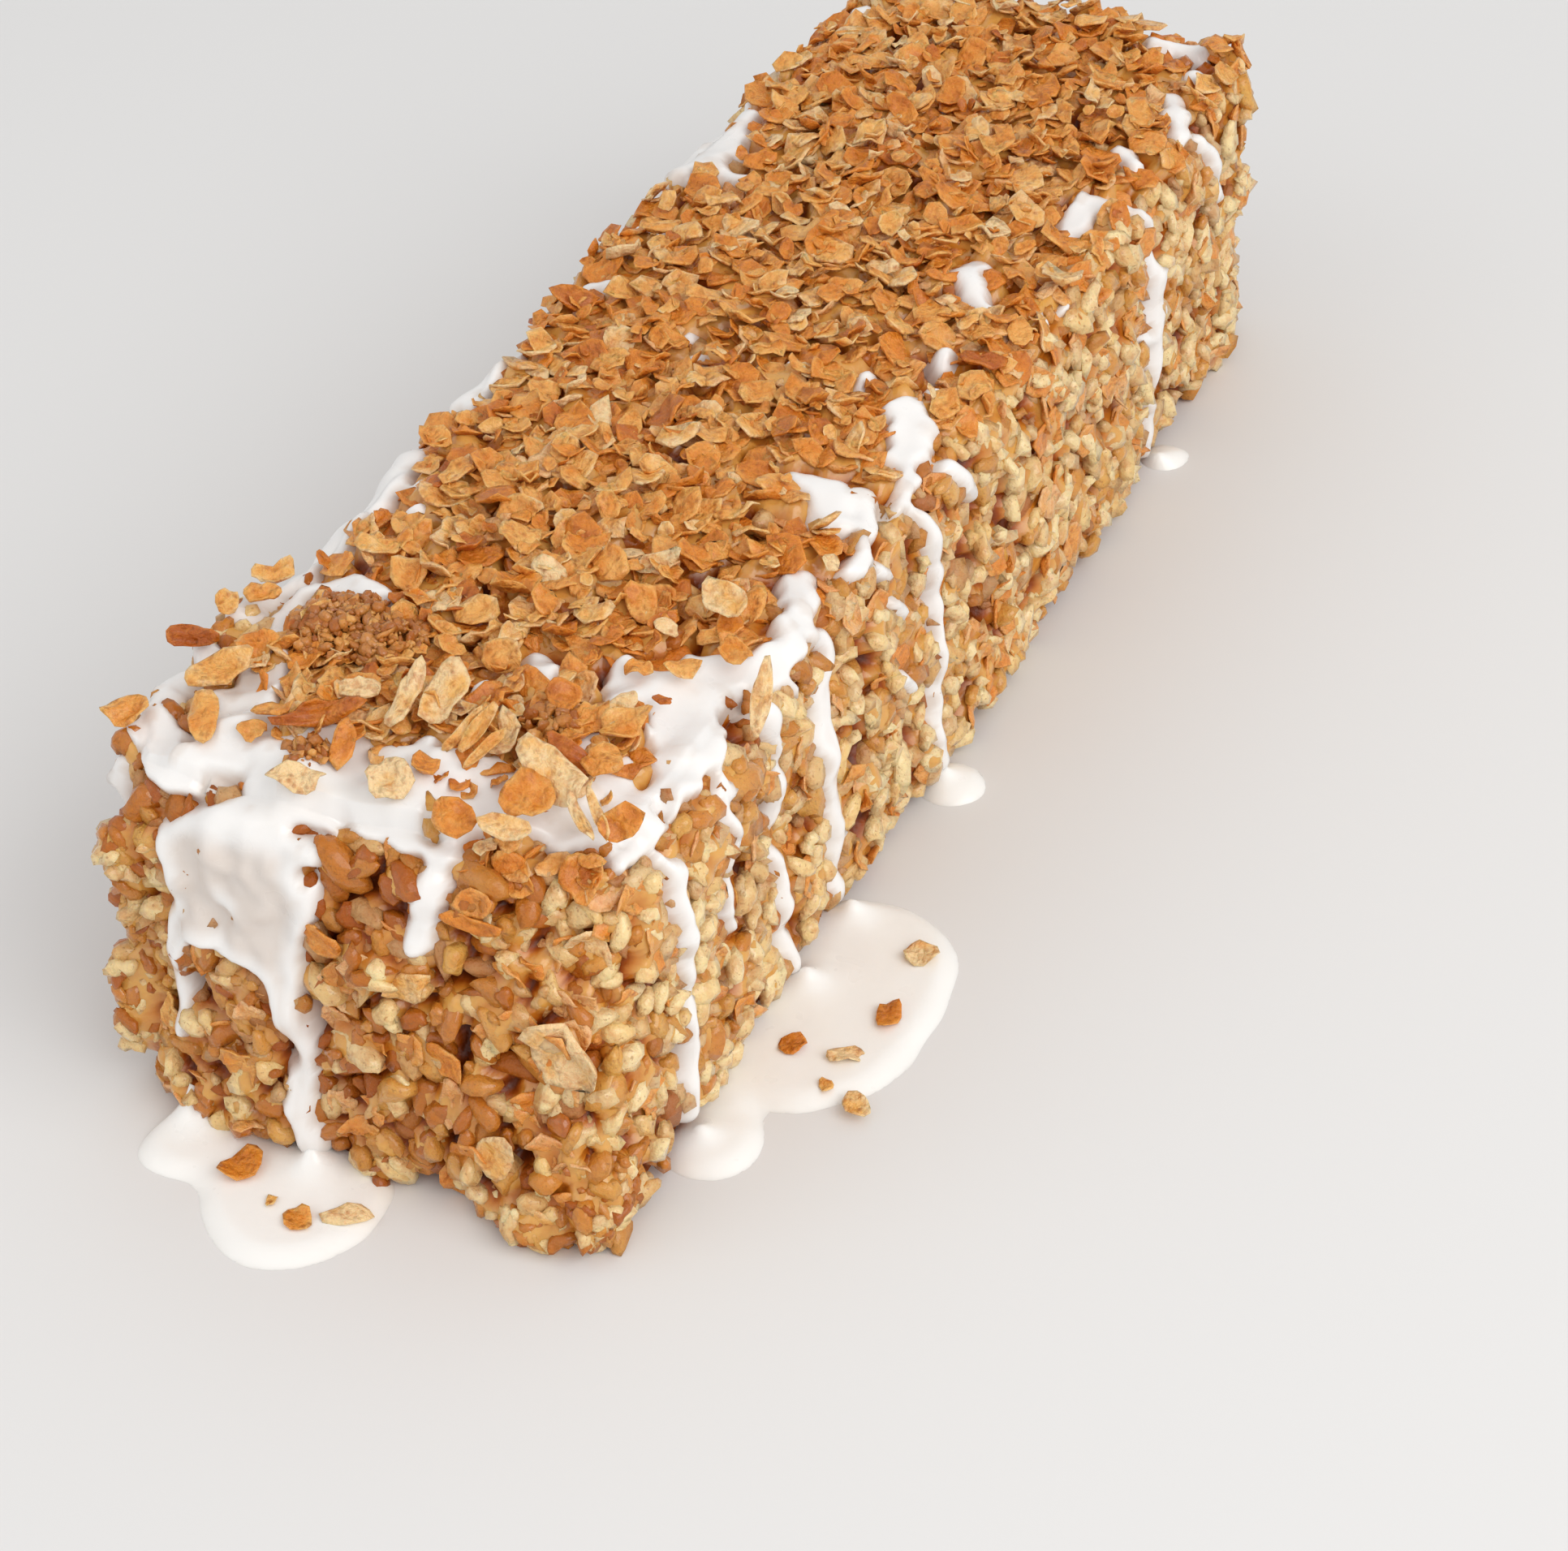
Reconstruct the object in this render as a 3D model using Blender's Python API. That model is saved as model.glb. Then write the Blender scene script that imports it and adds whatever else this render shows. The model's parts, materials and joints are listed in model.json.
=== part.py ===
"""Crisped rice treat: a hand-pressed loaf of puffed rice and cereal flakes, with white icing and its pools.

The loaf stands on its flat base at z = 0. The origin is the middle of the base, +Y runs along the loaf
away from its iced front end, +X is the side that the long drips run down, and +Z is up. Metres.
"""

import bmesh
import bpy
import numpy as np

MM = 0.001

# Pressed block, before its crags: the sizes over which everything else is worked out
WIDTH = 98 * MM
LENGTH = 330 * MM
HEIGHT = 70 * MM
EDGE_ROUND = 8 * MM
CORNER_EASE = 5 * MM
CORNER_REACH = 7 * MM
CROWN = 3 * MM
TOP_SHARE = 0.99
HALF = np.array([WIDTH / 2, LENGTH / 2])
GRID = 10 * MM
CRAG = 1.5 * MM
LUMP = 1.3 * MM
LUMP_SPACING = 24 * MM
FLAT_BASE = 6 * MM

# The front face leans back, because the loaf slumped forward at its foot
LEAN = 11 * MM
LEAN_REACH = 60 * MM

# Dents and swellings: where, how wide, and which way the surface is pushed
DENTS = (
    ((46, -160, 74), 19, (-3, 9, -5)),  # broken shoulder at the front right corner
    ((17, -168, 1), 5, (0, 8, 0)),  # notch in the foot of the front face
    ((36, -167, 8), 11, (1, -3, 0)),  # lump that stands forward beside the notch
    ((-20, -160, 52), 16, (0, -3, 0)),  # swelling under the widest icing
    ((-52, -160, 30), 14, (3, 2, 0)),
    ((50, -95, 30), 20, (-2, 0, 0)),
    ((50, 40, 40), 30, (2, 0, 0)),
    ((-50, 60, 45), 26, (-2.5, 0, 0)),
    ((-50, -60, 25), 22, (2, 0, 0)),
)

# Cereal pieces that show, at true size: a puffed grain's half length and half thickness, a flake's radius
KERNEL_LONG = 3.9 * MM
KERNEL_THICK = 2.3 * MM
KERNEL_SIDES = 5
KERNEL_RINGS = (-0.6, 0.6)
FLAKE_RADIUS = 5.6 * MM
FLAKE_THICK = 1.2 * MM
FLAKE_SIDES = 6
FLAKE_DISH = 1.5 * MM
WALL_KERNELS = 40
WALL_FLAKES = 22
TOP_FLAKES = 60
LOWEST_PIECE = 9 * MM
TOP_MARGIN = 4 * MM

# How far each kind of piece stands out of the surface, and how far it leans from lying flat, in radians
KERNEL_SINK = 0.7 * MM
WALL_FLAKE_SINK = 0.4 * MM
TOP_FLAKE_SINK = 1.2 * MM
KERNEL_LEAN = (0, 0.6)
WALL_FLAKE_LEAN = (0.1, 0.5)
TOP_FLAKE_LEAN = (0.15, 0.7)

# Icing: each run is (where along its wall, where it ends, height of its end, width), in millimetres
ICING_THICK = 1.9 * MM
RIGHT_RUNS = (
    (-139, -135, 0, 4.4),
    (-116, -110, 23, 4.4),
    (-91, -88, 0, 4.6),
    (-71, -67, 0, 7.0),
    (-48, -42, 57, 4.6),
    (-30, -24, 0, 5.0),
    (-14, -3, 50, 6.0),
    (46, 49, 64, 4.6),
    (92, 99, 5, 5.6),
    (128, 146, 42, 6.0),
)
FRONT_RUNS = ((-35, -35, 16, 4.4), (-13.5, -12.5, 0, 6.4), (17, 12.5, 51, 5.8))
LEFT_RUNS = (
    (-148, -146, 34, 4.2),
    (-84, -86, 46, 5.0),
    (-58, -57, 21, 3.6),
    (-12, -14, 50, 4.4),
    (66, 64, 38, 5.0),
    (112, 114, 50, 3.8),
    (146, 145, 19, 3.8),
)
BACK_RUNS = ((-27, -26, 30, 4.0), (22, 23, 12, 4.2))
RUN_STEP = 12 * MM
RUN_ROOT = 9 * MM
RUN_SIDES = 5
RUN_FOOT = 4.2 * MM

# Icing sheets: middle on the box, half sizes along the two axes of its wall or of the top, in millimetres
FRONT_SHEETS = (((-22, -165, 57), (16, 19)),)
LEFT_SHEETS = (((-49, -70, 60), (13, 22)), ((-49, 78, 63), (10, 12)))
TOP_SHEETS = (
    ((-42, -143, 70), (8, 9)),
    ((-14, -152, 70), (15, 8)),
    ((9, -150, 70), (9, 5)),
    ((34, -139, 70), (13, 5)),
    ((37, -114, 70), (12, 17)),
    ((22, -108, 70), (7, 9)),
    ((41, -89, 70), (9, 9)),
    ((42, -66, 70), (6, 8)),
    ((-36, -95, 70), (10, 5)),
    ((-46, -107, 70), (5, 13)),
    ((-46, -70, 70), (6, 24)),
    ((32, -38, 70), (8, 8)),
    ((39, -12, 70), (7, 13)),
    ((-45, 15, 70), (6, 8)),
    ((-44, 77, 70), (7, 15)),
    ((39, 78, 70), (5, 8)),
    ((40, 104, 70), (7, 6)),
    ((43, 135, 70), (5, 16)),
)
SHEET_SIDES = 8
SHEET_THICK = 2.2 * MM

# Pools on the surface that the loaf stands on: the wall that they ran from, round lobes of (x, y, radius),
# and fallen flakes of (x, y, spin), in millimetres and radians
POOL_THICK = 1.6 * MM
POOL_SIDES = 28
POOL_GAP = 2.4 * MM
POOL_RINGS = ((1, 0), (1, 0.5), (0.93, 1))
POOLS = {
    "icing_pool_front": (
        "front",
        ((-8.5, -173.5, 16.5), (-32.5, -169, 9), (-22, -168, 9)),
        ((-20, -172, 0.3), (-4.5, -179, 1.1), (3, -175, 2.0)),
    ),
    "icing_pool_side": (
        "right",
        ((55.5, -101, 21), (56.5, -83, 20), (59, -92, 17.5), (53, -134, 9), (49, -124, 7)),
        ((69, -93.5, 0.2), (56, -107, 0.9), (66, -106, 2.2), (70, -113, 0.4), (68, -76, 1.5)),
    ),
    "icing_pool_far": ("right", ((52, -25, 7),), ()),
    "icing_pool_end": ("right", ((51, 101, 5.5),), ()),
}
FALLEN_SIZE = 0.75
FALLEN_LIFT = 0.1 * MM


def clear_scene():
    for obj in list(bpy.data.objects):
        bpy.data.objects.remove(obj)


def material(name, colour, roughness):
    made = bpy.data.materials.new(name)
    made.use_nodes = True
    shader = made.node_tree.nodes["Principled BSDF"]
    shader.inputs["Base Color"].default_value = (*colour, 1)
    shader.inputs["Roughness"].default_value = roughness
    shader.inputs["Metallic"].default_value = 0
    return made


def mesh_object(name, points, faces, collection):
    """A mesh of triangles, because bent quads don't survive the union."""
    mesh = bpy.data.meshes.new(name)
    triangles = [(int(f[0]), int(f[n]), int(f[n + 1])) for f in faces for n in range(1, len(f) - 1)]
    mesh.from_pydata([tuple(p) for p in points], [], triangles)
    made = bpy.data.objects.new(name, mesh)
    collection.objects.link(made)
    return made


def waves(points, spacing, seed):
    """Smooth uneven heights of about -1 to 1: a sum of plane waves in random directions."""
    rng = np.random.default_rng(seed)
    directions = rng.normal(size=(12, 3))
    directions /= np.linalg.norm(directions, axis=1)[:, None]
    turns = 2 * np.pi / spacing * rng.uniform(0.7, 1.4, 12)
    phases = rng.uniform(0, 2 * np.pi, 12)
    return 3 * np.sin(points @ (directions * turns[:, None]).T + phases).mean(axis=1)


def ease(value):
    """0 up to value 0, 1 from value 1, smooth between."""
    value = np.clip(value, 0, 1)
    return value * value * (3 - 2 * value)


def loaf_surface(box_points):
    """Moves points of the plain box onto the loaf, and gives the way out of it at each."""
    low = np.array([-HALF[0], -HALF[1], 0]) + EDGE_ROUND
    high = np.array([HALF[0], HALF[1], HEIGHT]) - EDGE_ROUND
    inner = np.clip(box_points, low, high)
    out = box_points - inner
    out /= np.linalg.norm(out, axis=1)[:, None]
    point = inner + EDGE_ROUND * out
    to_corner = (HALF - np.abs(point[:, :2])).sum(axis=1)
    soften = CORNER_EASE * np.exp(-to_corner / CORNER_REACH)
    point[:, :2] -= np.sign(point[:, :2]) * soften[:, None]
    above = point[:, 2] / HEIGHT
    crown = CROWN * np.clip(1 - (point[:, 0] / HALF[0]) ** 2, 0, 1)
    point[:, 2] += crown * (above > TOP_SHARE)
    near_front = ease((LEAN_REACH - HALF[1] - point[:, 1]) / LEAN_REACH)
    point[:, 1] += LEAN * above * near_front
    for centre, reach, push in DENTS:
        away = np.linalg.norm(point - np.array(centre) * MM, axis=1)
        share = np.exp(-0.5 * (away / (reach * MM)) ** 2)
        share *= ease(point[:, 2] / FLAT_BASE) if push[2] else 1
        point += share[:, None] * np.array(push) * MM
    lumps = LUMP * waves(point, LUMP_SPACING, 3) * ease(point[:, 2] / FLAT_BASE)
    point += out * lumps[:, None]
    return point, out


def box_lattice(counts):
    """The quads of a box's six faces on a lattice of whole numbers, with shared corners, facing out."""
    quads = []
    for axis in range(3):
        a, b = (axis + 1) % 3, (axis + 2) % 3
        along, across = np.meshgrid(np.arange(counts[a]), np.arange(counts[b]), indexing="ij")
        for side in (0, counts[axis]):
            corners = np.zeros((*along.shape, 4, 3), int)
            for n, (step_a, step_b) in enumerate(((0, 0), (1, 0), (1, 1), (0, 1))):
                corners[..., n, a] = along + step_a
                corners[..., n, b] = across + step_b
            corners[..., axis] = side
            quads.append((corners if side else corners[..., ::-1, :]).reshape(-1, 4, 3))
    corners = np.concatenate(quads).reshape(-1, 3)
    lattice, index = np.unique(corners, axis=0, return_inverse=True)
    return lattice, index.reshape(-1, 4)


def pressed_block(collection):
    """The loaf's body: a rounded box whose walls and top are roughened to the size of its grains."""
    size = np.array([WIDTH, LENGTH, HEIGHT])
    counts = np.maximum(1, np.round(size / GRID)).astype(int)
    lattice, quads = box_lattice(counts)
    box_points = lattice / counts * size - np.array([HALF[0], HALF[1], 0])
    points, out = loaf_surface(box_points)
    rng = np.random.default_rng(11)
    crags = CRAG * rng.uniform(-1, 1, len(points)) * ease(points[:, 2] / FLAT_BASE)
    return mesh_object("treat", points + out * crags[:, None], quads, collection)


def turned(out, spin, tilt, lean_to):
    """A frame whose third axis leans from out by tilt, turned by spin about it."""
    out = out / np.linalg.norm(out)
    side = np.cross(out, (0.31, 0.2, 0.93) if abs(out[2]) < 0.9 else (1, 0, 0))
    side /= np.linalg.norm(side)
    up = np.cross(out, side)
    axis = out * np.cos(tilt) + (side * np.cos(lean_to) + up * np.sin(lean_to)) * np.sin(tilt)
    side = side - axis * (side @ axis)
    side /= np.linalg.norm(side)
    up = np.cross(axis, side)
    first = side * np.cos(spin) + up * np.sin(spin)
    return np.array([first, np.cross(axis, first), axis])


def kernel_shape(rng):
    """A puffed grain: three rings between two tips, plump and a little uneven."""
    turn = np.arange(KERNEL_SIDES) * 2 * np.pi / KERNEL_SIDES
    points = [(-1, 0, 0)]
    for along in KERNEL_RINGS:
        girth = np.sqrt(1 - along * along) * rng.uniform(0.85, 1.15, KERNEL_SIDES)
        points += [(along, g * np.cos(t), g * np.sin(t)) for g, t in zip(girth, turn)]
    points.append((1, 0, 0))
    size = rng.uniform(0.85, 1.2)
    scale = np.array([KERNEL_LONG * size, KERNEL_THICK * size, KERNEL_THICK * 0.9 * size])
    return np.array(points) * scale, lofted(len(KERNEL_RINGS), KERNEL_SIDES)


def lofted(rings, sides):
    """Faces of rings of points between a first and a last single point, facing out."""
    last = 1 + rings * sides
    faces = []
    for n in range(sides):
        after = (n + 1) % sides
        faces.append((0, 1 + after, 1 + n))
        for ring in range(rings - 1):
            start = 1 + ring * sides
            faces.append((start + n, start + after, start + sides + after, start + sides + n))
        start = 1 + (rings - 1) * sides
        faces.append((start + n, start + after, last))
    return faces


def flake_shape(rng):
    """A toasted flake: a thin dished plate with an uneven round outline."""
    turn = np.arange(FLAKE_SIDES) * 2 * np.pi / FLAKE_SIDES
    reach = rng.uniform(0.78, 1.15, FLAKE_SIDES)
    stretch = rng.uniform(0.65, 0.95)
    rim = np.stack([reach * np.cos(turn), reach * stretch * np.sin(turn)], axis=1)
    rim *= FLAKE_RADIUS * rng.uniform(0.8, 1.15)
    dish = FLAKE_DISH * rng.uniform(0.6, 1.4)
    curl = dish * (0.7 + 0.5 * np.cos(2 * turn + rng.uniform(0, np.pi)))
    low = [(x, y, c - FLAKE_THICK / 2) for (x, y), c in zip(rim * 0.97, curl)]
    high = [(x, y, c + FLAKE_THICK / 2) for (x, y), c in zip(rim, curl)]
    points = [(0, 0, -FLAKE_THICK / 2), *low, *high, (0, 0, FLAKE_THICK / 2)]
    return np.array(points), lofted(2, FLAKE_SIDES)


def evenly(count, seed):
    """Points of the unit square, evenly but not regularly spread."""
    start = np.random.default_rng(seed).uniform(size=2)
    steps = np.arange(count)[:, None] * np.array([0.7548776662, 0.5698402909])
    return (start + steps) % 1


def wall_places(count, seed):
    """Box points all round the four walls, evenly spread."""
    spread = evenly(count, seed)
    walk = spread[:, 0] * 2 * (WIDTH + LENGTH)
    height = LOWEST_PIECE + spread[:, 1] * (HEIGHT - LOWEST_PIECE - TOP_MARGIN)
    places = []
    for along, z in zip(walk, height):
        if along < WIDTH:
            places.append((along - HALF[0], -HALF[1], z))
        elif along < WIDTH + LENGTH:
            places.append((HALF[0], along - WIDTH - HALF[1], z))
        elif along < 2 * WIDTH + LENGTH:
            places.append((HALF[0] - (along - WIDTH - LENGTH), HALF[1], z))
        else:
            places.append((-HALF[0], HALF[1] - (along - 2 * WIDTH - LENGTH), z))
    return np.array(places)


def top_places(count, seed):
    spread = evenly(count, seed) - 0.5
    reach = np.array([WIDTH, LENGTH]) - 2 * TOP_MARGIN
    return np.column_stack([spread * reach, np.full(count, HEIGHT)])


def add_pieces(name, places, shape, sink, tilts, collection, seed):
    """One cereal piece at each place, sunk into the surface and turned at random."""
    rng = np.random.default_rng(seed)
    points, outs = loaf_surface(places)
    for n, (point, out) in enumerate(zip(points, outs)):
        shaped, faces = shape(rng)
        frame = turned(out, rng.uniform(0, 2 * np.pi), rng.uniform(*tilts), rng.uniform(0, 2 * np.pi))
        placed = point + out * sink * rng.uniform(0.7, 1.3) + shaped @ frame
        mesh_object(f"{name}_{n}", placed, faces, collection)


def sweep(name, path, outs, half_widths, half_thick, collection):
    """A rounded strip along a path that lies on the surface, with tapered ends."""
    count = len(path)
    turn = (np.arange(RUN_SIDES) + 0.5) * 2 * np.pi / RUN_SIDES
    along = np.gradient(path, axis=0)
    along /= np.linalg.norm(along, axis=1)[:, None]
    points = [path[0] - along[0] * half_widths[0] * 0.5]
    for n in range(count):
        out = outs[n] - along[n] * (outs[n] @ along[n])
        out /= np.linalg.norm(out)
        side = np.cross(out, along[n])
        for angle in turn:
            reach = side * np.cos(angle) * half_widths[n] + out * np.sin(angle) * half_thick
            points.append(path[n] + reach)
    points.append(path[-1] + along[-1] * half_widths[-1] * 0.6)
    mesh_object(name, points, lofted(count, RUN_SIDES), collection)


def icing_run(name, wall, run, collection):
    """A drip: from on top of the loaf, over its edge and down a wall to a rounded end."""
    start, end, foot, width = (value * MM for value in run)
    top = HEIGHT - EDGE_ROUND
    foot = max(foot, RUN_FOOT)
    steps = max(2, int(np.ceil((top - foot) / RUN_STEP)))
    heights = np.linspace(top, foot, steps)
    drift = np.linspace(start, end, steps)
    wobble = 0.7 * MM * waves(np.column_stack([drift, drift, heights]), 18 * MM, 5)
    place, inward = wall
    box_points = [place(start) + inward * RUN_ROOT + (0, 0, HEIGHT), place(start) + (0, 0, HEIGHT)]
    box_points += [place(d) + (0, 0, z) for d, z in zip(drift + wobble, heights)]
    box_points = np.array(box_points)
    points, outs = loaf_surface(np.maximum(box_points, (-1, -1, EDGE_ROUND)))
    points[:, 2] = np.where(box_points[:, 2] < EDGE_ROUND, box_points[:, 2], points[:, 2])
    share = np.linspace(0, 1, len(points))
    half_widths = width / 2 * (1.5 - 0.6 * share)
    half_widths[-1] = width / 2 * 1.05
    half_widths[0] *= 1.2
    sweep(name, points + outs * 0.5 * MM, outs, half_widths, ICING_THICK, collection)


def icing_runs(collection):
    walls = {
        "right": (RIGHT_RUNS, (lambda d: np.array([HALF[0], d, 0]), np.array([-1.0, 0, 0]))),
        "front": (FRONT_RUNS, (lambda d: np.array([d, -HALF[1], 0]), np.array([0, 1.0, 0]))),
        "left": (LEFT_RUNS, (lambda d: np.array([-HALF[0], d, 0]), np.array([1.0, 0, 0]))),
        "back": (BACK_RUNS, (lambda d: np.array([d, HALF[1], 0]), np.array([0, -1.0, 0]))),
    }
    for side, (runs, wall) in walls.items():
        for n, run in enumerate(runs):
            icing_run(f"{side}_run_{n}", wall, run, collection)


def icing_sheets(collection):
    """Low rounded patches of icing, draped on the front face and on the top."""
    rng = np.random.default_rng(23)
    turn = -np.arange(SHEET_SIDES) * 2 * np.pi / SHEET_SIDES
    for sheets, first, second in ((FRONT_SHEETS, 0, 2), (LEFT_SHEETS, 2, 1), (TOP_SHEETS, 0, 1)):
        for n, (middle, half_sizes) in enumerate(sheets):
            reach = rng.uniform(0.85, 1.12, SHEET_SIDES)
            rings = []
            for size in (0, 0.62, 1, 0):
                ring = np.tile(np.array(middle, float) * MM, (1 if size == 0 else SHEET_SIDES, 1))
                if size:
                    ring[:, first] += size * reach * half_sizes[0] * MM * np.cos(turn)
                    ring[:, second] += size * reach * half_sizes[1] * MM * np.sin(turn)
                rings.append(ring)
            limit = np.array([HALF[0], HALF[1], HEIGHT])
            box_points = np.clip(np.concatenate(rings), -limit, limit)
            points, outs = loaf_surface(box_points)
            raised = [SHEET_THICK] + [SHEET_THICK * 0.85] * SHEET_SIDES
            raised += [-1.2 * MM] * SHEET_SIDES + [-3 * MM]
            points += outs * np.array(raised)[:, None]
            mesh_object(f"sheet_{first}_{n}", points, lofted(2, SHEET_SIDES), collection)


def join_into(body, collection):
    """One Boolean union of the body with everything in the collection, which is then removed."""
    joining = body.modifiers.new("joined pieces", "BOOLEAN")
    joining.operation = "UNION"
    joining.operand_type = "COLLECTION"
    joining.collection = collection
    joining.solver = "MANIFOLD"
    bpy.context.view_layer.update()
    graph = bpy.context.evaluated_depsgraph_get()
    joined = bpy.data.meshes.new_from_object(body.evaluated_get(graph))
    body.modifiers.clear()
    body.data = joined
    for piece in list(collection.objects):
        bpy.data.objects.remove(piece)
    bpy.data.collections.remove(collection)
    keep_outer_shell(body)


def keep_outer_shell(body):
    """Drops the faces of sealed hollows and of loose scraps, which the union leaves as islands of their own."""
    mesh = bmesh.new()
    mesh.from_mesh(body.data)
    left = set(mesh.verts)
    islands = []
    while left:
        island = {left.pop()}
        edge_of_growth = set(island)
        while edge_of_growth:
            linked = {edge.other_vert(vert) for vert in edge_of_growth for edge in vert.link_edges}
            edge_of_growth = linked - island
            island |= edge_of_growth
        left -= island
        islands.append(island)
    largest = max(islands, key=len)
    bmesh.ops.delete(mesh, geom=[vert for vert in mesh.verts if vert not in largest], context="VERTS")
    mesh.to_mesh(body.data)
    mesh.free()


def new_collection(name):
    made = bpy.data.collections.new(name)
    bpy.context.scene.collection.children.link(made)
    return made


def treat():
    """The loaf, with the grains, flakes and icing that stand out of it, as one solid."""
    pieces = new_collection("pieces")
    body = pressed_block(bpy.context.scene.collection)
    wall_kernels = wall_places(WALL_KERNELS, 31)
    wall_flakes = wall_places(WALL_FLAKES, 37)
    top_flakes = top_places(TOP_FLAKES, 47)
    add_pieces("kernel", wall_kernels, kernel_shape, KERNEL_SINK, KERNEL_LEAN, pieces, 41)
    add_pieces("wall_flake", wall_flakes, flake_shape, WALL_FLAKE_SINK, WALL_FLAKE_LEAN, pieces, 43)
    add_pieces("top_flake", top_flakes, flake_shape, TOP_FLAKE_SINK, TOP_FLAKE_LEAN, pieces, 53)
    icing_sheets(pieces)
    icing_runs(pieces)
    join_into(body, pieces)
    body.data.materials.clear()
    body.data.materials.append(material("toasted cereal", (0.62, 0.34, 0.12), 0.5))


def pool_lobe(name, side, lobe, collection):
    """A flat round disc with a rounded rim, cut straight where the loaf's foot stands over it."""
    x, y, radius = (value * MM for value in lobe)
    turn = np.arange(POOL_SIDES) * 2 * np.pi / POOL_SIDES
    rings = [np.array([[x, y, 0]])]
    for share, height in POOL_RINGS:
        ring = np.column_stack([x + share * radius * np.cos(turn), y + share * radius * np.sin(turn)])
        if side == "front":
            ring[:, 1] = np.minimum(ring[:, 1], POOL_GAP - HALF[1])
        else:
            ring[:, 0] = np.maximum(ring[:, 0], HALF[0] - POOL_GAP)
        rings.append(np.column_stack([ring, np.full(POOL_SIDES, height * POOL_THICK)]))
    points = np.concatenate([*rings, [[x, y, POOL_THICK]]])
    return mesh_object(name, points, lofted(len(POOL_RINGS), POOL_SIDES), collection)


def icing_pool(name, side, lobes, flakes, coating):
    """A pool of joined lobes, and the flakes that fell in it."""
    body = pool_lobe(name, side, lobes[0], bpy.context.scene.collection)
    joining = new_collection(name + "_pieces")
    for n, lobe in enumerate(lobes[1:]):
        pool_lobe(f"{name}_lobe_{n}", side, lobe, joining)
    rng = np.random.default_rng(59)
    for n, (x, y, spin) in enumerate(flakes):
        shaped, faces = flake_shape(rng)
        frame = turned(np.array([0, 0, 1.0]), spin, 0.06, 0)
        place = np.array([x * MM, y * MM, POOL_THICK + FALLEN_LIFT])
        mesh_object(f"{name}_flake_{n}", place + FALLEN_SIZE * shaped @ frame, faces, joining)
    if len(joining.objects):
        join_into(body, joining)
    else:
        bpy.data.collections.remove(joining)
    body.data.materials.clear()
    body.data.materials.append(coating)


def main():
    clear_scene()
    treat()
    coating = material("white icing", (0.92, 0.89, 0.84), 0.25)
    for name, (side, lobes, flakes) in POOLS.items():
        icing_pool(name, side, lobes, flakes, coating)
    for obj in bpy.data.objects:
        obj.data.shade_smooth()
        obj.data.set_sharp_from_angle(angle=0.9)


main()
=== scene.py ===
"""Looks of the crisped rice treat: a pressed loaf of puffed grains under a heap of toasted flakes, iced.

Every length is in millimetres until a mesh is made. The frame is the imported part's own: the loaf stands
on its base at z = 0, +Y runs along it away from its iced front end, and +X is the side of the long drips.
"""

import itertools
import json

import bpy
import numpy as np
from mathutils import Matrix

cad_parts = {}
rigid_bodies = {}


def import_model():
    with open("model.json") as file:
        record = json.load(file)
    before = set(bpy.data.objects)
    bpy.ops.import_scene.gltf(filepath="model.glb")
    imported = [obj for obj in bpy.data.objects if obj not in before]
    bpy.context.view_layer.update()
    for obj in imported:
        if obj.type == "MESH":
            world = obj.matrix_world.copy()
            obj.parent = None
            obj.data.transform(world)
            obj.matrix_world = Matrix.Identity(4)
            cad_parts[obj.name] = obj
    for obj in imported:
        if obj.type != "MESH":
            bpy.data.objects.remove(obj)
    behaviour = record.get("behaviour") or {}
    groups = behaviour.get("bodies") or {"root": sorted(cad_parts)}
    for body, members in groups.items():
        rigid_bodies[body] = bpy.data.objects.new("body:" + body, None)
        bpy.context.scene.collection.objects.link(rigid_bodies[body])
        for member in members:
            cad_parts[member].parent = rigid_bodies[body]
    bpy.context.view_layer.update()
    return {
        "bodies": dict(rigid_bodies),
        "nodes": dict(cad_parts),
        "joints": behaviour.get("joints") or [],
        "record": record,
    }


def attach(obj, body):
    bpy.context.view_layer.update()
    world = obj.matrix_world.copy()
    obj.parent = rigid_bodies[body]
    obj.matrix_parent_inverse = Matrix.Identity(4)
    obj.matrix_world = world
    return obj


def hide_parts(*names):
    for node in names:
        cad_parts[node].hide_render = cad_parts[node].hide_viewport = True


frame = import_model()

MM = 0.001
FAR_AWAY = 60.0

# The pressed block and how it is uneven, as in the part's own source
WIDTH, LENGTH, HEIGHT = 98, 330, 70
HALF = np.array([WIDTH / 2, LENGTH / 2])
EDGE_ROUND = 8
CORNER_EASE, CORNER_REACH = 5, 7
CROWN, TOP_SHARE = 3, 0.99
LEAN, LEAN_REACH = 11, 60
LUMP, LUMP_SPACING, LUMP_SEED = 1.3, 24, 3
FLAT_BASE = 6
DENTS = (
    ((46, -160, 74), 19, (-3, 9, -5)),
    ((17, -168, 1), 5, (0, 8, 0)),
    ((36, -167, 8), 11, (1, -3, 0)),
    ((-20, -160, 52), 16, (0, -3, 0)),
    ((-52, -160, 30), 14, (3, 2, 0)),
    ((50, -95, 30), 20, (-2, 0, 0)),
    ((50, 40, 40), 30, (2, 0, 0)),
    ((-50, 60, 45), 26, (-2.5, 0, 0)),
    ((-50, -60, 25), 22, (2, 0, 0)),
)


def waves(points, spacing, seed):
    """Smooth uneven values of about -1 to 1: the mean of twelve plane waves in random directions."""
    rng = np.random.default_rng(seed)
    directions = rng.normal(size=(12, 3))
    directions /= np.linalg.norm(directions, axis=1)[:, None]
    turns = 2 * np.pi / spacing * rng.uniform(0.7, 1.4, 12)
    phases = rng.uniform(0, 2 * np.pi, 12)
    return 3 * np.sin(points @ (directions * turns[:, None]).T + phases).mean(axis=1)


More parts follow.
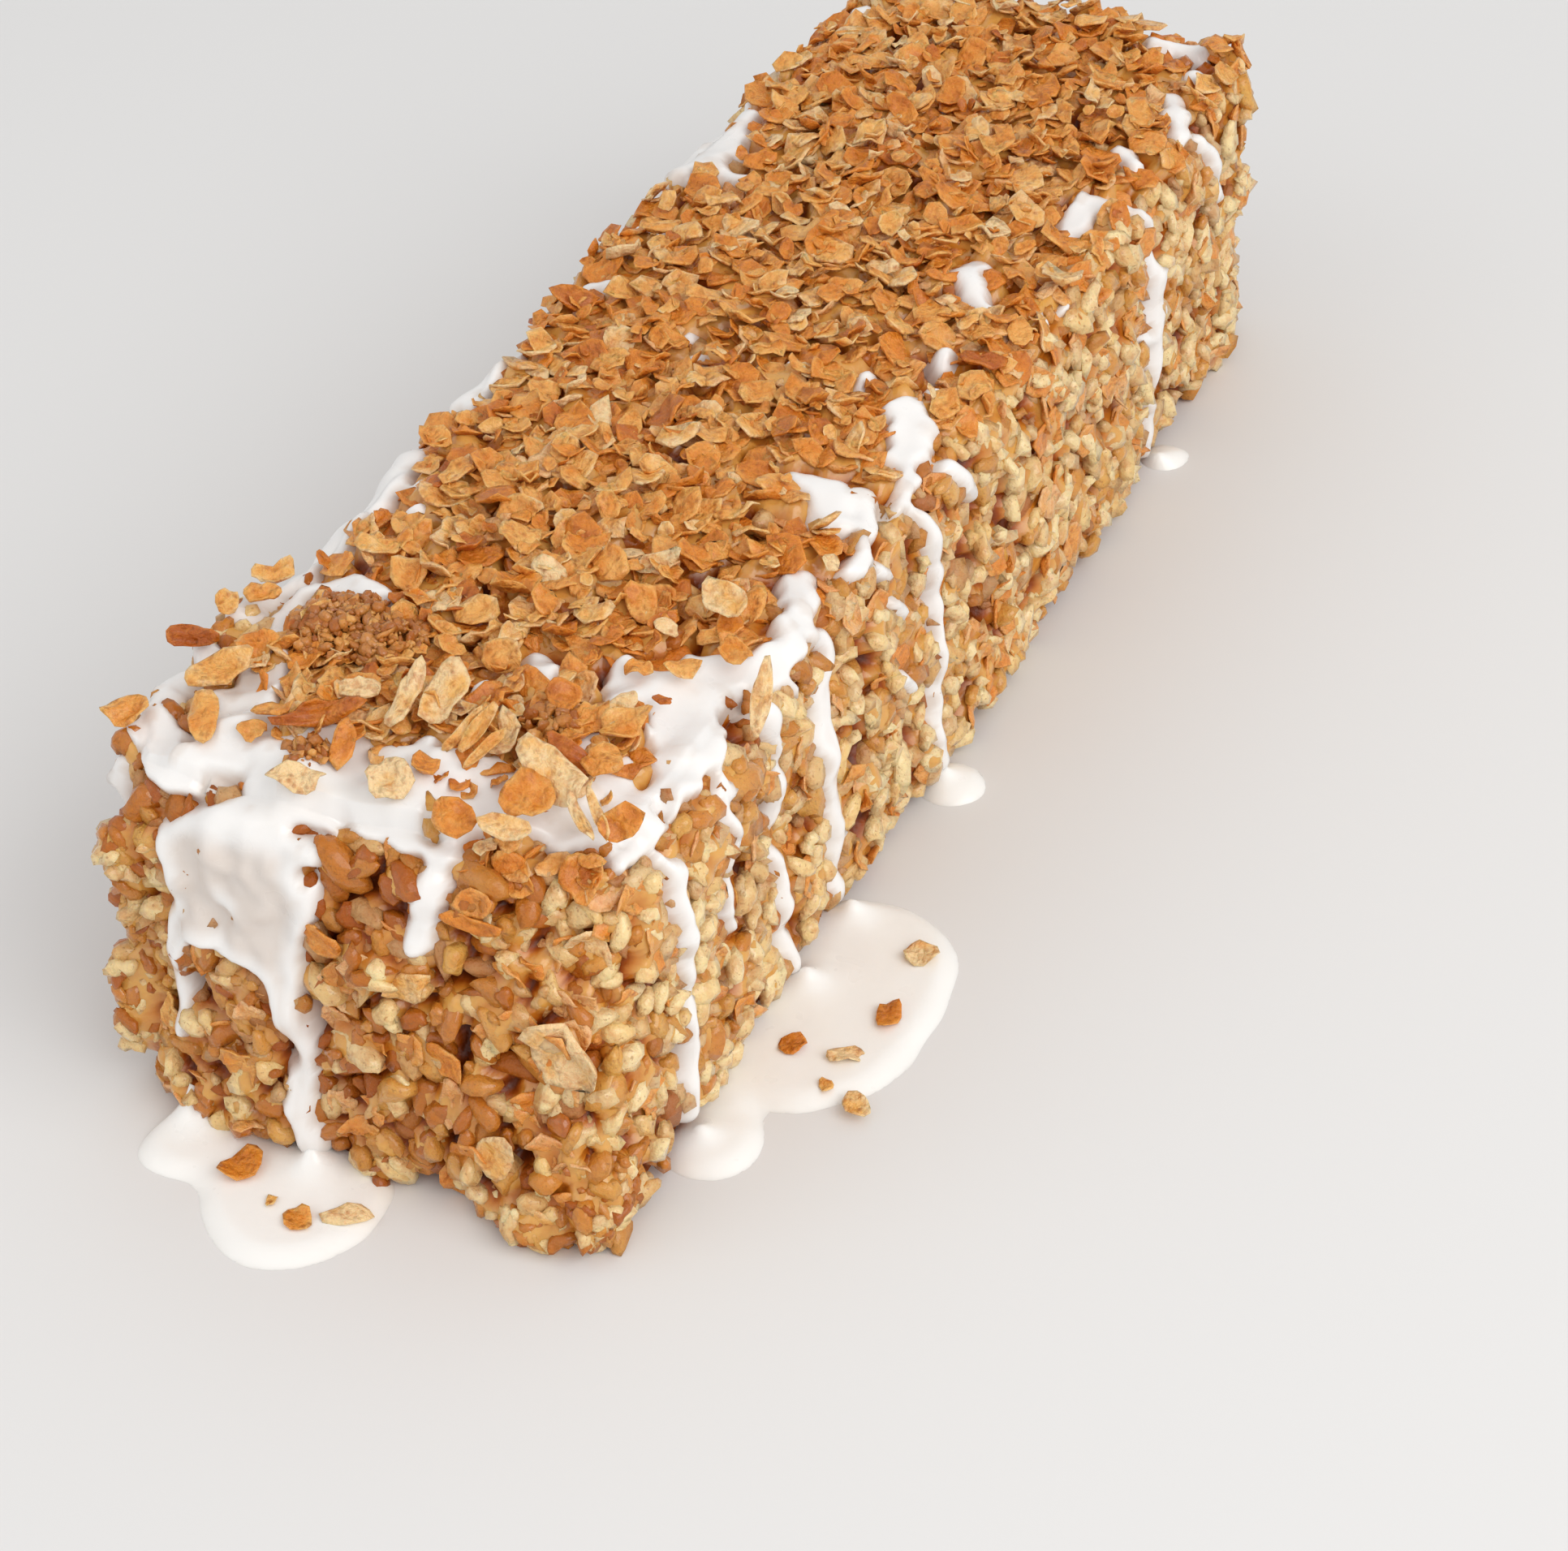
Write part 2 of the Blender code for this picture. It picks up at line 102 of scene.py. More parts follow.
def ease(value):
    """0 up to value 0, 1 from value 1, and 3v^2 - 2v^3 between."""
    value = np.clip(value, 0, 1)
    return value * value * (3 - 2 * value)


def loaf_surface(box_points):
    """Points of the plain box moved onto the loaf, and the way out of it at each.

    Each point goes to a fixed distance from the nearest point of a smaller box, which rounds the edges.
    Then the corners draw in, the top swells, the front leans back, each dent pushes its surroundings by
    a bell curve, and long smooth waves move the surface in and out.
    """
    low = np.array([-HALF[0], -HALF[1], 0]) + EDGE_ROUND
    high = np.array([HALF[0], HALF[1], HEIGHT]) - EDGE_ROUND
    inner = np.clip(box_points, low, high)
    out = box_points - inner
    out /= np.linalg.norm(out, axis=1)[:, None]
    point = inner + EDGE_ROUND * out
    to_corner = (HALF - np.abs(point[:, :2])).sum(axis=1)
    point[:, :2] -= np.sign(point[:, :2]) * (CORNER_EASE * np.exp(-to_corner / CORNER_REACH))[:, None]
    above = point[:, 2] / HEIGHT
    crown = CROWN * np.clip(1 - (point[:, 0] / HALF[0]) ** 2, 0, 1)
    point[:, 2] += crown * (above > TOP_SHARE)
    near_front = ease((LEAN_REACH - HALF[1] - point[:, 1]) / LEAN_REACH)
    point[:, 1] += LEAN * above * near_front
    for centre, reach, push in DENTS:
        away = np.linalg.norm(point - np.array(centre), axis=1)
        share = np.exp(-0.5 * (away / reach) ** 2)
        share *= ease(point[:, 2] / FLAT_BASE) if push[2] else 1
        point += share[:, None] * np.array(push)
    lumps = LUMP * waves(point, LUMP_SPACING, LUMP_SEED) * ease(point[:, 2] / FLAT_BASE)
    return point + out * lumps[:, None], out


# Lattices over the loaf


def widening(low, high, near, far):
    """Places from low to high whose spacing grows evenly from near to far."""
    count = max(1, round((high - low) * 2 / (near + far)))
    places = np.concatenate([[0], np.cumsum(np.linspace(near, far, count))])
    return low + places * (high - low) / places[-1]


def quads_of(index):
    """The quads between the points of a two-way table of point numbers."""
    corners = (index[:-1, :-1], index[1:, :-1], index[1:, 1:], index[:-1, 1:])
    return np.stack(corners, axis=-1).reshape(-1, 4)


class Shell:
    """The loaf's walls and top as one open lattice: a box's surface points, carried onto the loaf."""

    def __init__(self, near, far):
        """near and far are the spacings at the front and at the back end."""
        self.axes = (
            widening(-HALF[0], HALF[0], near, near),
            widening(-HALF[1], HALF[1], near, far),
            widening(0, HEIGHT, near, near),
        )
        shape = tuple(len(axis) for axis in self.axes)
        shown = np.ones(shape, bool)
        shown[1:-1, 1:-1, :-1] = False
        self.index = np.full(shape, -1)
        self.index[shown] = np.arange(shown.sum())
        self.box = np.stack(np.meshgrid(*self.axes, indexing="ij"), axis=-1)[shown]
        self.point, self.out = loaf_surface(self.box)
        index = self.index
        self.sides = (
            (index[-1], 0, HALF[0], 1, 2),
            (index[0], 0, -HALF[0], 1, 2),
            (index[:, 0], 1, -HALF[1], 0, 2),
            (index[:, -1], 1, HALF[1], 0, 2),
            (index[:, :, -1], 2, HEIGHT, 0, 1),
        )
        flipped = (quads_of(index[0])[:, ::-1], quads_of(index[:, -1])[:, ::-1])
        straight = (quads_of(index[-1]), quads_of(index[:, 0]), quads_of(index[:, :, -1]))
        self.quads = np.concatenate([*straight, *flipped])
        pairs = np.concatenate([self.quads[:, [n, (n + 1) % 4]] for n in range(4)])
        self.pairs = np.unique(np.sort(pairs, axis=1), axis=0)
        self.links = 1 + np.bincount(self.pairs.ravel(), minlength=len(self.box))

    def smooth(self, height, rounds):
        """Each round replaces a height by the mean of itself and its neighbours."""
        a, b = self.pairs.T
        for _ in range(rounds):
            total = np.bincount(a, height[b], len(height)) + np.bincount(b, height[a], len(height))
            height = (height + total) / self.links
        return height

    def relief(self, groups, lowest):
        """The outermost crossing of each point's way out with the ellipsoids round the bits near it."""
        height = np.full(len(self.box), float(lowest))
        for bits, (index, flat, place, first, second) in itertools.product(groups, self.sides):
            near = np.abs(bits["home"][:, flat] - place) < bits["reach"]
            if not near.any():
                continue
            tables = []
            for axis in (first, second):
                lines = self.axes[axis]
                span = int(np.ceil(bits["reach"] / np.diff(lines).min()))
                middle = np.searchsorted(lines, bits["home"][near, axis])
                tables.append(middle[:, None] + np.arange(-span, span + 1))
            along = np.repeat(tables[0][:, :, None], tables[1].shape[1], axis=2)
            across = np.repeat(tables[1][:, None, :], tables[0].shape[1], axis=1)
            kept = (along >= 0) & (along < index.shape[0]) & (across >= 0) & (across < index.shape[1])
            bit = np.flatnonzero(near)[np.nonzero(kept)[0]]
            spot = index[along[kept], across[kept]]
            turn = bits["frame"][bit]
            size = bits["half"][bit]
            start = np.einsum("nij,nj->ni", turn, self.point[spot] - bits["centre"][bit]) / size
            way = np.einsum("nij,nj->ni", turn, self.out[spot]) / size
            a, b, c = (way**2).sum(1), (start * way).sum(1), (start**2).sum(1) - 1
            hit = b * b - a * c
            crossing = np.where(hit > 0, (-b + np.sqrt(np.maximum(hit, 0))) / a, lowest)
            np.maximum.at(height, spot, crossing)
        return height


# Bits: grains and flakes


def turned(out, spin, tilt, lean_to):
    """Frames whose third axis leans from out by tilt towards lean_to, turned by spin about it."""
    helper = np.where(np.abs(out[:, 2:]) < 0.9, (0.31, 0.2, 0.93), (1, 0, 0))
    side = np.cross(out, helper)
    side /= np.linalg.norm(side, axis=1)[:, None]
    up = np.cross(out, side)
    lean = side * np.cos(lean_to)[:, None] + up * np.sin(lean_to)[:, None]
    axis = out * np.cos(tilt)[:, None] + lean * np.sin(tilt)[:, None]
    side -= axis * (side * axis).sum(1)[:, None]
    side /= np.linalg.norm(side, axis=1)[:, None]
    first = side * np.cos(spin)[:, None] + np.cross(axis, side) * np.sin(spin)[:, None]
    return np.stack([first, np.cross(axis, first), axis], axis=1)


def lofted(rings, sides):
    """Triangles and quads of rings of points between a first and a last single point, facing out."""
    turn = np.arange(sides)
    after = (turn + 1) % sides
    last = 1 + rings * sides
    start = 1 + (rings - 1) * sides
    caps = [(np.zeros(sides, int), 1 + after, 1 + turn), (start + turn, start + after, np.full(sides, last))]
    triangles = np.concatenate([np.stack(cap, axis=1) for cap in caps])
    rows = 1 + np.arange(rings - 1)[:, None] * sides
    corners = (rows + turn, rows + after, rows + sides + after, rows + sides + turn)
    return triangles, np.stack(corners, axis=-1).reshape(-1, 4)


def grain_forms(count, sides, rings, rng):
    """Puffed grains of half length about 1: a plump spindle, bent, grooved and roughened.

    Along the grain x runs from -1 to 1. The girth is (1 - x^2)^0.42, less a bell-shaped groove at one
    side, and six plane waves over the surface swell and pinch it. The middle is moved sideways by x^2.
    """
    turn = np.arange(sides) * 2 * np.pi / sides
    along = -np.cos(np.arange(1, rings + 1) * np.pi / (rings + 1))
    girth = (1 - along**2) ** 0.42
    across = girth[:, None, None] * np.stack([np.cos(turn), np.sin(turn)], axis=-1)
    ring = np.concatenate([np.broadcast_to(along[:, None, None], (rings, sides, 1)), across], axis=-1)
    unit = np.concatenate([[(-1, 0, 0)], ring.reshape(-1, 3), [(1, 0, 0)]])
    ways = rng.normal(size=(count, 6, 3))
    ways *= (rng.uniform(1.8, 5.0, (count, 6)) / np.linalg.norm(ways, axis=2))[:, :, None]
    phase = rng.uniform(0, 2 * np.pi, (count, 6))
    swell = np.sin(np.einsum("vk,nwk->nvw", unit, ways) + phase[:, None, :])
    swell = 1 + (swell * rng.uniform(0.05, 0.22, (count, 1, 6))).sum(axis=2)
    angle = np.arctan2(unit[:, 2], unit[:, 1])
    away = np.angle(np.exp(1j * (angle[None] - rng.uniform(0, 2 * np.pi, (count, 1)))))
    groove = 1 - rng.uniform(0, 0.5, (count, 1)) * np.exp(-((away / 0.5) ** 2))
    points = unit[None] * swell[:, :, None]
    points[:, :, 1:] *= groove[:, :, None]
    bend = rng.uniform(-0.35, 0.35, (count, 1))
    points[:, :, 2] += bend * (points[:, :, 0] ** 2 - 0.4)
    return points


# Half a flake's thickness and the height of its bubbles, as shares of its radius
PLATE, BUBBLE = 0.1, 0.068
# A flake's rings from its underside round the rim to its face: (share of the radius, side)
FINE_RINGS = ((0.5, -1), (0.88, -0.9), (1, -0.3), (1, 0.4), (0.86, 1), (0.6, 1.1), (0.3, 1.1))
NEAR_RINGS = ((0.55, -1), (1, -0.35), (1, 0.35), (0.82, 1), (0.45, 1.1))
FAR_RINGS = ((0.6, -1), (1, -0.3), (0.94, 0.7), (0.55, 1.1))


def flake_forms(count, sides, rings, rng):
    """Toasted flakes of radius about 1: thin curled plates with bubbled faces and ragged rims.

    A point is at share s of the outline's radius, which is 1 plus five waves of two to seven lobes. The
    plate rises by k1 x^2 + k2 y^2, by a wave of the rim times s^3, and by bubbles, which are plane waves.
    Half its thickness is added above and taken off below, less towards the rim.
    """
    turn = np.arange(sides) * 2 * np.pi / sides
    share, face = np.array(rings).T
    lobes = np.arange(2, 8)
    strength = rng.uniform(0.02, 0.5, (count, 6)) / lobes**1.38
    phase = rng.uniform(0, 2 * np.pi, (count, 6))
    outline = 1 + (strength[:, None] * np.cos(turn[None, :, None] * lobes + phase[:, None])).sum(2)
    circle = np.stack([np.cos(turn), np.sin(turn)], axis=-1)
    flat = circle * (share[:, None] * outline[:, None])[..., None]
    flat[..., 1] *= rng.uniform(0.5, 0.95, (count, 1, 1))
    curl = rng.uniform(-0.1, 0.42, (count, 2, 1, 1))
    rise = curl[:, 0] * flat[..., 0] ** 2 + curl[:, 1] * flat[..., 1] ** 2
    rim_wave = rng.uniform(0, 0.2, (count, 1, 1)) * np.sin(3 * turn + rng.uniform(0, 6, (count, 1, 1)))
    rise = rise + rim_wave * share[:, None] ** 3
    ways = rng.normal(size=(count, 5, 2)) * 4.0
    bubbles = np.sin(np.einsum("nrsk,nwk->nrsw", flat, ways) + rng.uniform(0, 6, (count, 1, 1, 5)))
    rise = rise + BUBBLE * bubbles.sum(axis=3)
    rise = rise + PLATE * face[:, None]
    body = np.concatenate([flat, rise[..., None]], axis=-1).reshape(count, -1, 3)
    middle = np.zeros((count, 1, 3))
    middle[..., 2] = 0.05 * np.sin(rng.uniform(0, 6, (count, 1)))
    return np.concatenate([middle - (0, 0, PLATE), body, middle + (0, 0, PLATE)], axis=1)


def evenly(count, seed):
    """Points of the unit square, evenly but not regularly spread."""
    rng = np.random.default_rng(seed)
    steps = np.arange(count)[:, None] * np.array([0.7548776662, 0.5698402909])
    return (rng.uniform(size=2) + steps + rng.normal(0, 0.35 / np.sqrt(count), (count, 2))) % 1


def wall_homes(count, low, high, seed):
    """Box points all round the four walls between two heights, evenly spread."""
    spread = evenly(count, seed)
    walk = spread[:, 0] * 2 * (WIDTH + LENGTH)
    z = low + spread[:, 1] * (high - low)
    ends = np.cumsum([WIDTH, LENGTH, WIDTH, LENGTH])
    sides = [walk < ends[0], walk < ends[1], walk < ends[2]]
    x = np.select(sides, [walk - HALF[0], HALF[0], HALF[0] - (walk - ends[1])], -HALF[0])
    y = np.select(sides, [-HALF[1], walk - ends[0] - HALF[1], HALF[1]], HALF[1] - (walk - ends[2]))
    return np.stack([np.broadcast_to(x, count), np.broadcast_to(y, count), z], axis=1).astype(float)


def at_height(flat, z):
    """Points of two numbers with z as their third."""
    return np.column_stack([flat, np.full(len(flat), float(z))])


def top_homes(count, margin, seed):
    """Box points over the top, a margin in from its edges, evenly spread."""
    return at_height((evenly(count, seed) - 0.5) * (np.array([WIDTH, LENGTH]) - 2 * margin), HEIGHT)


def bits_of(home, centre, frame, half, rise, reach):
    """Bits as arrays: box point, middle, frame, half sizes and rise, and how far their relief reaches."""
    return {"home": home, "centre": centre, "frame": frame, "half": half, "rise": rise, "reach": reach}


def bits_at(homes, rises, leans, halves, reach, rng):
    """Bits at box points: each raised out of the surface and leaning at random."""
    count = len(homes)
    point, out = loaf_surface(homes)
    lean = rng.uniform(*leans, count)
    frames = turned(out, rng.uniform(0, 2 * np.pi, count), lean, rng.uniform(0, 2 * np.pi, count))
    return bits_of(homes, point + out * rises[:, None], frames, halves, rises, reach)


def chosen(bits, keep):
    """The bits named by keep."""
    return {name: value if name == "reach" else value[keep] for name, value in bits.items()}


def joined(*groups):
    """Several groups of bits as one."""
    made = {name: np.concatenate([g[name] for g in groups]) for name in groups[0] if name != "reach"}
    made["reach"] = max(g["reach"] for g in groups)
    return made


# Icing: runs of points along its middle line. A wall's run gives the place along the wall, the height and
# the radius, and a run on top gives x, y and the radius.

RIGHT_X = 50.5
RIGHT_RUNS = (
    ((-138, 76, 1.8), (-136.4, 70, 1.6), (-133.7, 65, 1.6), (-132, 60, 2), (-133, 54, 1.6),
     (-132.3, 47, 1.9), (-132, 40, 1.7), (-131.8, 30, 1.6), (-132.6, 21, 1.7), (-134, 14, 1.9),
     (-134, 6, 1.9), (-134, 0, 2.6)),
    ((-116, 64, 1.2), (-114.7, 58, 1.3), (-113.3, 52, 1.35), (-111.8, 46, 1.7), (-112, 40, 2.1),
     (-112.5, 35.5, 1.6), (-111.5, 31, 1.2), (-111, 28.5, 1)),
    ((-118, 74, 2.8), (-114.5, 67, 1.6), (-112.5, 62.5, 1.3)), ((-126, 77, 2.5), (-125, 73, 1.3)),
    ((-96, 75, 3.5), (-94, 62, 2.1), (-91.5, 55, 2.2), (-90.5, 48, 2.2), (-90.5, 40, 2.1), (-90.5, 30, 2),
     (-91.5, 20, 2), (-90.5, 10, 2.1), (-90, 0, 2.8)),
    ((-90, 76, 2.5), (-87, 70, 1.8), (-85.5, 65, 1.3)),
    ((-78, 76, 3), (-70, 67, 2.5), (-69, 61, 2.4), (-72, 54, 2.8), (-73, 46, 2.9), (-72, 37, 2.7),
     (-71, 28, 2.4), (-70.3, 18, 2.3), (-69.8, 8, 2.3), (-69.5, 0, 3)),
    ((-53, 79, 3), (-49, 72, 2.3), (-47, 66, 1.7), (-44, 61.5, 1.4)), ((-43.5, 56, 1.4), (-39, 51, 1.8)),
    ((-44, 39, 1.3), (-40, 34, 1.6)),
    ((-33, 78, 2.6), (-29.5, 71, 2.2), (-26.5, 60, 2.1), (-24, 50, 2), (-23.5, 42, 2), (-24, 32, 2),
     (-26.5, 22, 1.9), (-27, 14, 1.9), (-25.5, 6, 2), (-25, 0, 2.6)),
    ((-18, 76, 2.6), (-14, 69, 2.4), (-9.5, 61, 2.4), (-5, 55, 1.7)), ((40, 78, 2.6), (45, 71, 1.9)),
    ((86, 77, 2.8), (89, 70, 2.5), (92, 60, 2.5), (95, 48, 2.7), (95.5, 40, 2.7), (94.5, 28, 2.2),
     (96, 14, 2.4), (97, 0, 3)),
    ((88, 38, 1.8), (94, 34, 2)),
    ((120, 76, 2.4), (125, 67, 2), (130, 58, 2.2), (136, 49, 2.4), (140, 45, 1.8)),
)
LEFT_X = -50.5
LEFT_RUNS = (
    ((-148, 72, 2.6), (-148, 60, 2), (-147, 46, 1.9), (-146, 36, 2.2)),
    ((-90, 70, 6), (-80, 66, 8), (-68, 66, 9), (-56, 70, 7)), ((-84, 62, 5), (-86, 52, 2.4), (-86, 48, 2)),
    ((-72, 58, 5), (-70, 50, 3)), ((-58, 62, 3), (-58, 46, 1.9), (-57, 32, 1.7), (-57, 23, 2)),
    ((-30, 72, 4), (-20, 71, 4.5), (-12, 70, 4)), ((-12, 66, 2.8), (-13, 58, 2), (-14, 52, 2.2)),
    ((62, 71, 5), (76, 68, 8), (88, 70, 6)), ((66, 64, 3), (65, 52, 2.2), (64, 40, 2.3)),
    ((112, 73, 2.4), (113, 62, 1.8), (114, 52, 2)),
    ((146, 73, 2.4), (146, 56, 1.8), (145, 38, 1.7), (145, 21, 2.1)),
)
FRONT_RUNS = (
    ((-22, 73, 6.5), (-12, 70, 9), (-14, 58, 9), (-16, 47, 7.5), (-12.5, 40, 3.4), (-12, 31, 2.7),
     (-10.2, 25, 1.9), (-11.2, 18, 2.6), (-11.4, 12, 2.6), (-9.8, 6, 2.7), (-9, 0, 3.6)),
    ((-22, 72, 6), (-28, 61, 8), (-28, 49, 6.5), (-34, 43, 2.8), (-35.6, 36, 2.3), (-36.6, 27, 2.3),
     (-37, 20, 2.5)),
    ((-28, 61, 8), (-14, 58, 9)), ((-28, 49, 6), (-16, 47, 7)),
    ((17, 77, 3.2), (16.4, 71, 3), (15.8, 65, 2.2), (14.8, 60, 2.5), (13.8, 55, 2.4), (13.4, 52.5, 2.6)),
)
BACK_RUNS = (
    ((-27, 74, 2.4), (-27, 58, 1.9), (-26, 44, 1.8), (-26, 32, 2.1)),
    ((22, 74, 2.4), (22, 54, 1.9), (23, 34, 1.8), (23, 14, 2.2)),
)
TOP_RUNS = (
    ((-46, -141, 3.5), (-41, -147, 5.5), (-37, -152, 5), (-33.5, -155.5, 3.4)),
    ((-37, -151, 4.5), (-30, -147, 4), (-25, -143, 3.5)), ((-30, -135.5, 3.6),), ((-36, -133, 2.8),),
    ((-48.5, -121, 3), (-48, -130, 4), (-47, -138, 3)), ((-48, -101, 3), (-48, -110, 2.8)),
    ((-40, -104, 3), (-39.5, -111, 2.8)), ((-40, -97.5, 3.4), (-34, -96.5, 4), (-26, -97, 3.4)),
    ((-48, -93, 4.5), (-46, -84, 4.5), (-47, -74, 5), (-47, -62, 4.5), (-48, -52, 4)), ((-38, -60.5, 2.2),),
    ((-34, -70, 2.2),), ((-46, -31, 3.5), (-46, -20, 4), (-47, -8, 3)),
    ((-24, -152, 4), (-14, -149, 5), (-5, -147, 4.5), (1, -150, 4.6), (8, -153, 3.4), (15, -154, 3)),
    ((7, -148, 3), (10, -147, 2.4)), ((16, -149, 2.6), (17.5, -155, 3)),
    ((16, -146, 3), (21, -142, 3.4), (28, -140.5, 3.4), (35, -140, 3.4), (42, -139, 3.4)),
    ((28, -104, 4.5), (36, -103, 6.5), (42, -109, 7), (44, -117, 6.5), (46.5, -127, 5), (48.5, -135, 4),
     (49, -142, 3.4)),
    ((27, -108, 3.5), (25, -101, 3)), ((9, -104, 3), (14, -109, 2.6)), ((5, -117, 2.4),), ((3, -133, 2.6),),
    ((34, -92, 3), (41, -95, 4), (46, -90, 5), (48, -82, 4.5), (47, -74, 4), (43, -67, 4.5), (40, -63, 3)),
    ((28, -37, 3), (34, -38, 4.6), (38, -43, 4.6)), ((15.5, -34, 2),),
    ((41, -36, 3), (46, -42, 3.4), (49, -49, 3), (50, -54, 3)),
    ((36, -7, 3.4), (40, -11, 4.6), (42, -19, 4), (47, -26, 3), (49, -32, 3)), ((39, 3.5, 2.8),),
    ((25, -0.5, 2.5),), ((-13.5, 2, 2.2),), ((-8.5, -4.5, 2.3),), ((11, -2, 1.8),),
    ((45, -14, 3), (49, -17, 3)), ((35, 15, 2.6),), ((35, 36, 3), (29, 41, 2.6), (29, 49, 3)),
    ((49, 38, 2.8),), ((-46, 15, 2.6), (-37, 14, 2.4)), ((-39, 43, 2.4), (-47, 42, 2.6)),
    ((-46, 64, 5), (-44, 76, 6), (-45, 90, 5)), ((-42, 67, 4), (-32, 66, 2.6)), ((-49, 100, 3),),
    ((39, 73, 3.6), (39, 83, 3.6), (48, 86, 2.8)), ((39, 104, 3.2), (43, 101, 3)),
    ((40, 132, 3), (44, 124, 3.6), (49, 118, 3.4)), ((41, 143, 3),), ((37, 156, 3), (28, 153, 2.8)),
    ((-42, 148, 3.6),),
)
FRONT_FOOT, FRONT_SLOPE, TOP_Z = -166.5, 0.164, 73

# Where the icing stays open: dark gaps under its lips, as chains of (x, y, z, radius)
BARE = (
    ((-42, -160, 60, 2.5), (-34, -157.5, 68, 2.6), (-28, -156.5, 72, 2.2), (-23, -155, 74.5, 1.6)),
    ((-29, -151.5, 74, 1.5), (-24, -151, 73.5, 2.2)), ((-9, -157, 70.5, 1.8), (0, -157, 71.5, 1.6)),
    ((3, -156.5, 73, 1.2), (13, -156.5, 73, 1.3)), ((-6, -159, 61.5, 1.8), (-3, -159, 62, 1.5)),
    ((46, -127, 75, 1.6), (50, -128, 72, 2.2)), ((49, -123, 75, 1.0), (51, -124, 71, 1.8)),
    ((51, -117.5, 74, 1.2), (52, -118, 70, 1.5)),
)

# The sheet under the flakes at the front end, which shows only in the gaps between them
UNDER_RUNS = (
    ((-30, -140, 6), (-14, -142, 7), (2, -141, 7), (18, -138, 7), (32, -136, 7), (42, -132, 5)),
    ((-34, -124, 5), (-30, -134, 5)), ((26, -124, 6), (34, -126, 6)),
)


def on_top(runs):
    """Runs of (x, y, radius) as chains at the height of the top."""
    return [[(x, y, TOP_Z, r) for x, y, r in run] for run in runs]


def icing_chains():
    """Every chain as points in space: the runs down each wall and the patches on top."""
    chains = [[(RIGHT_X, y, z, r) for y, z, r in run] for run in RIGHT_RUNS]
    chains += [[(LEFT_X, y, z, r) for y, z, r in run] for run in LEFT_RUNS]
    chains += [[(x, FRONT_FOOT + FRONT_SLOPE * z, z, r) for x, z, r in run] for run in FRONT_RUNS]
    chains += [[(x, HALF[1] + 1.5, z, r) for x, z, r in run] for run in BACK_RUNS]
    return chains + on_top(TOP_RUNS)


# A one-point chain's length, how far past a chain distances are worked out, and the share of the way out
# that they leave uncounted
DOT_STEP, CHAIN_MARGIN, OUTWARD_SHARE = 0.01, 7, 0.75


def inside_chains(point, out, chains, blend):
    """How far each point lies outside the nearest chain, less than 0 within it.

    The distance to a piece of a chain is taken mostly along the surface, less the radius there, and the
    smaller of two distances is eased into the other by a smooth minimum of the given reach.
    """
    best = np.full(len(point), FAR_AWAY)
    for chain in chains:
        chain = np.array(chain, float)
        ends = chain[1:] if len(chain) > 1 else chain + (DOT_STEP, 0, 0, 0)
        for start, end in zip(chain, ends):
            step = end[:3] - start[:3]
            reach = max(start[3], end[3]) + CHAIN_MARGIN
            low, high = np.minimum(start, end)[:3] - reach, np.maximum(start, end)[:3] + reach
            near = np.flatnonzero(((point > low) & (point < high)).all(axis=1))
            if not len(near):
                continue
            offset = point[near] - start[:3]
            share = np.clip(offset @ step / (step @ step), 0, 1)
            offset = offset - share[:, None] * step
            offset -= OUTWARD_SHARE * (offset * out[near]).sum(1)[:, None] * out[near]
            away = np.linalg.norm(offset, axis=1) - (start[3] + share * (end[3] - start[3]))
            mix = np.clip(0.5 + 0.5 * (best[near] - away) / blend, 0, 1)
            best[near] = best[near] * (1 - mix) + away * mix - blend * mix * (1 - mix)
    return best


# Making meshes

OFF_FLOOR = 0.1


def mesh_piece(name, points, quads, values, finish, triangles=()):
    """A mesh of arrays of points, quads and triangles, with one number per point for each named value."""
    mesh = bpy.data.meshes.new(name)
    mesh.vertices.add(len(points))
    mesh.vertices.foreach_set("co", (np.asarray(points) * MM).astype(np.float32).ravel())
    loops = np.concatenate([np.ravel(triangles), np.ravel(quads)]).astype(np.int32)
    sizes = np.repeat([3, 4], [len(triangles), len(quads)])
    mesh.loops.add(len(loops))
    mesh.loops.foreach_set("vertex_index", loops)
    mesh.polygons.add(len(sizes))
    mesh.polygons.foreach_set("loop_start", (np.cumsum(sizes) - sizes).astype(np.int32))
    mesh.update(calc_edges=True)
    mesh.validate()
    for value_name, value in values.items():
        attribute = mesh.attributes.new(value_name, "FLOAT", "POINT")
        attribute.data.foreach_set("value", np.asarray(value, np.float32).ravel())
    mesh.shade_smooth()
    mesh.materials.append(finish)
    made = bpy.data.objects.new(name, mesh)
    bpy.context.scene.collection.objects.link(made)
    return made


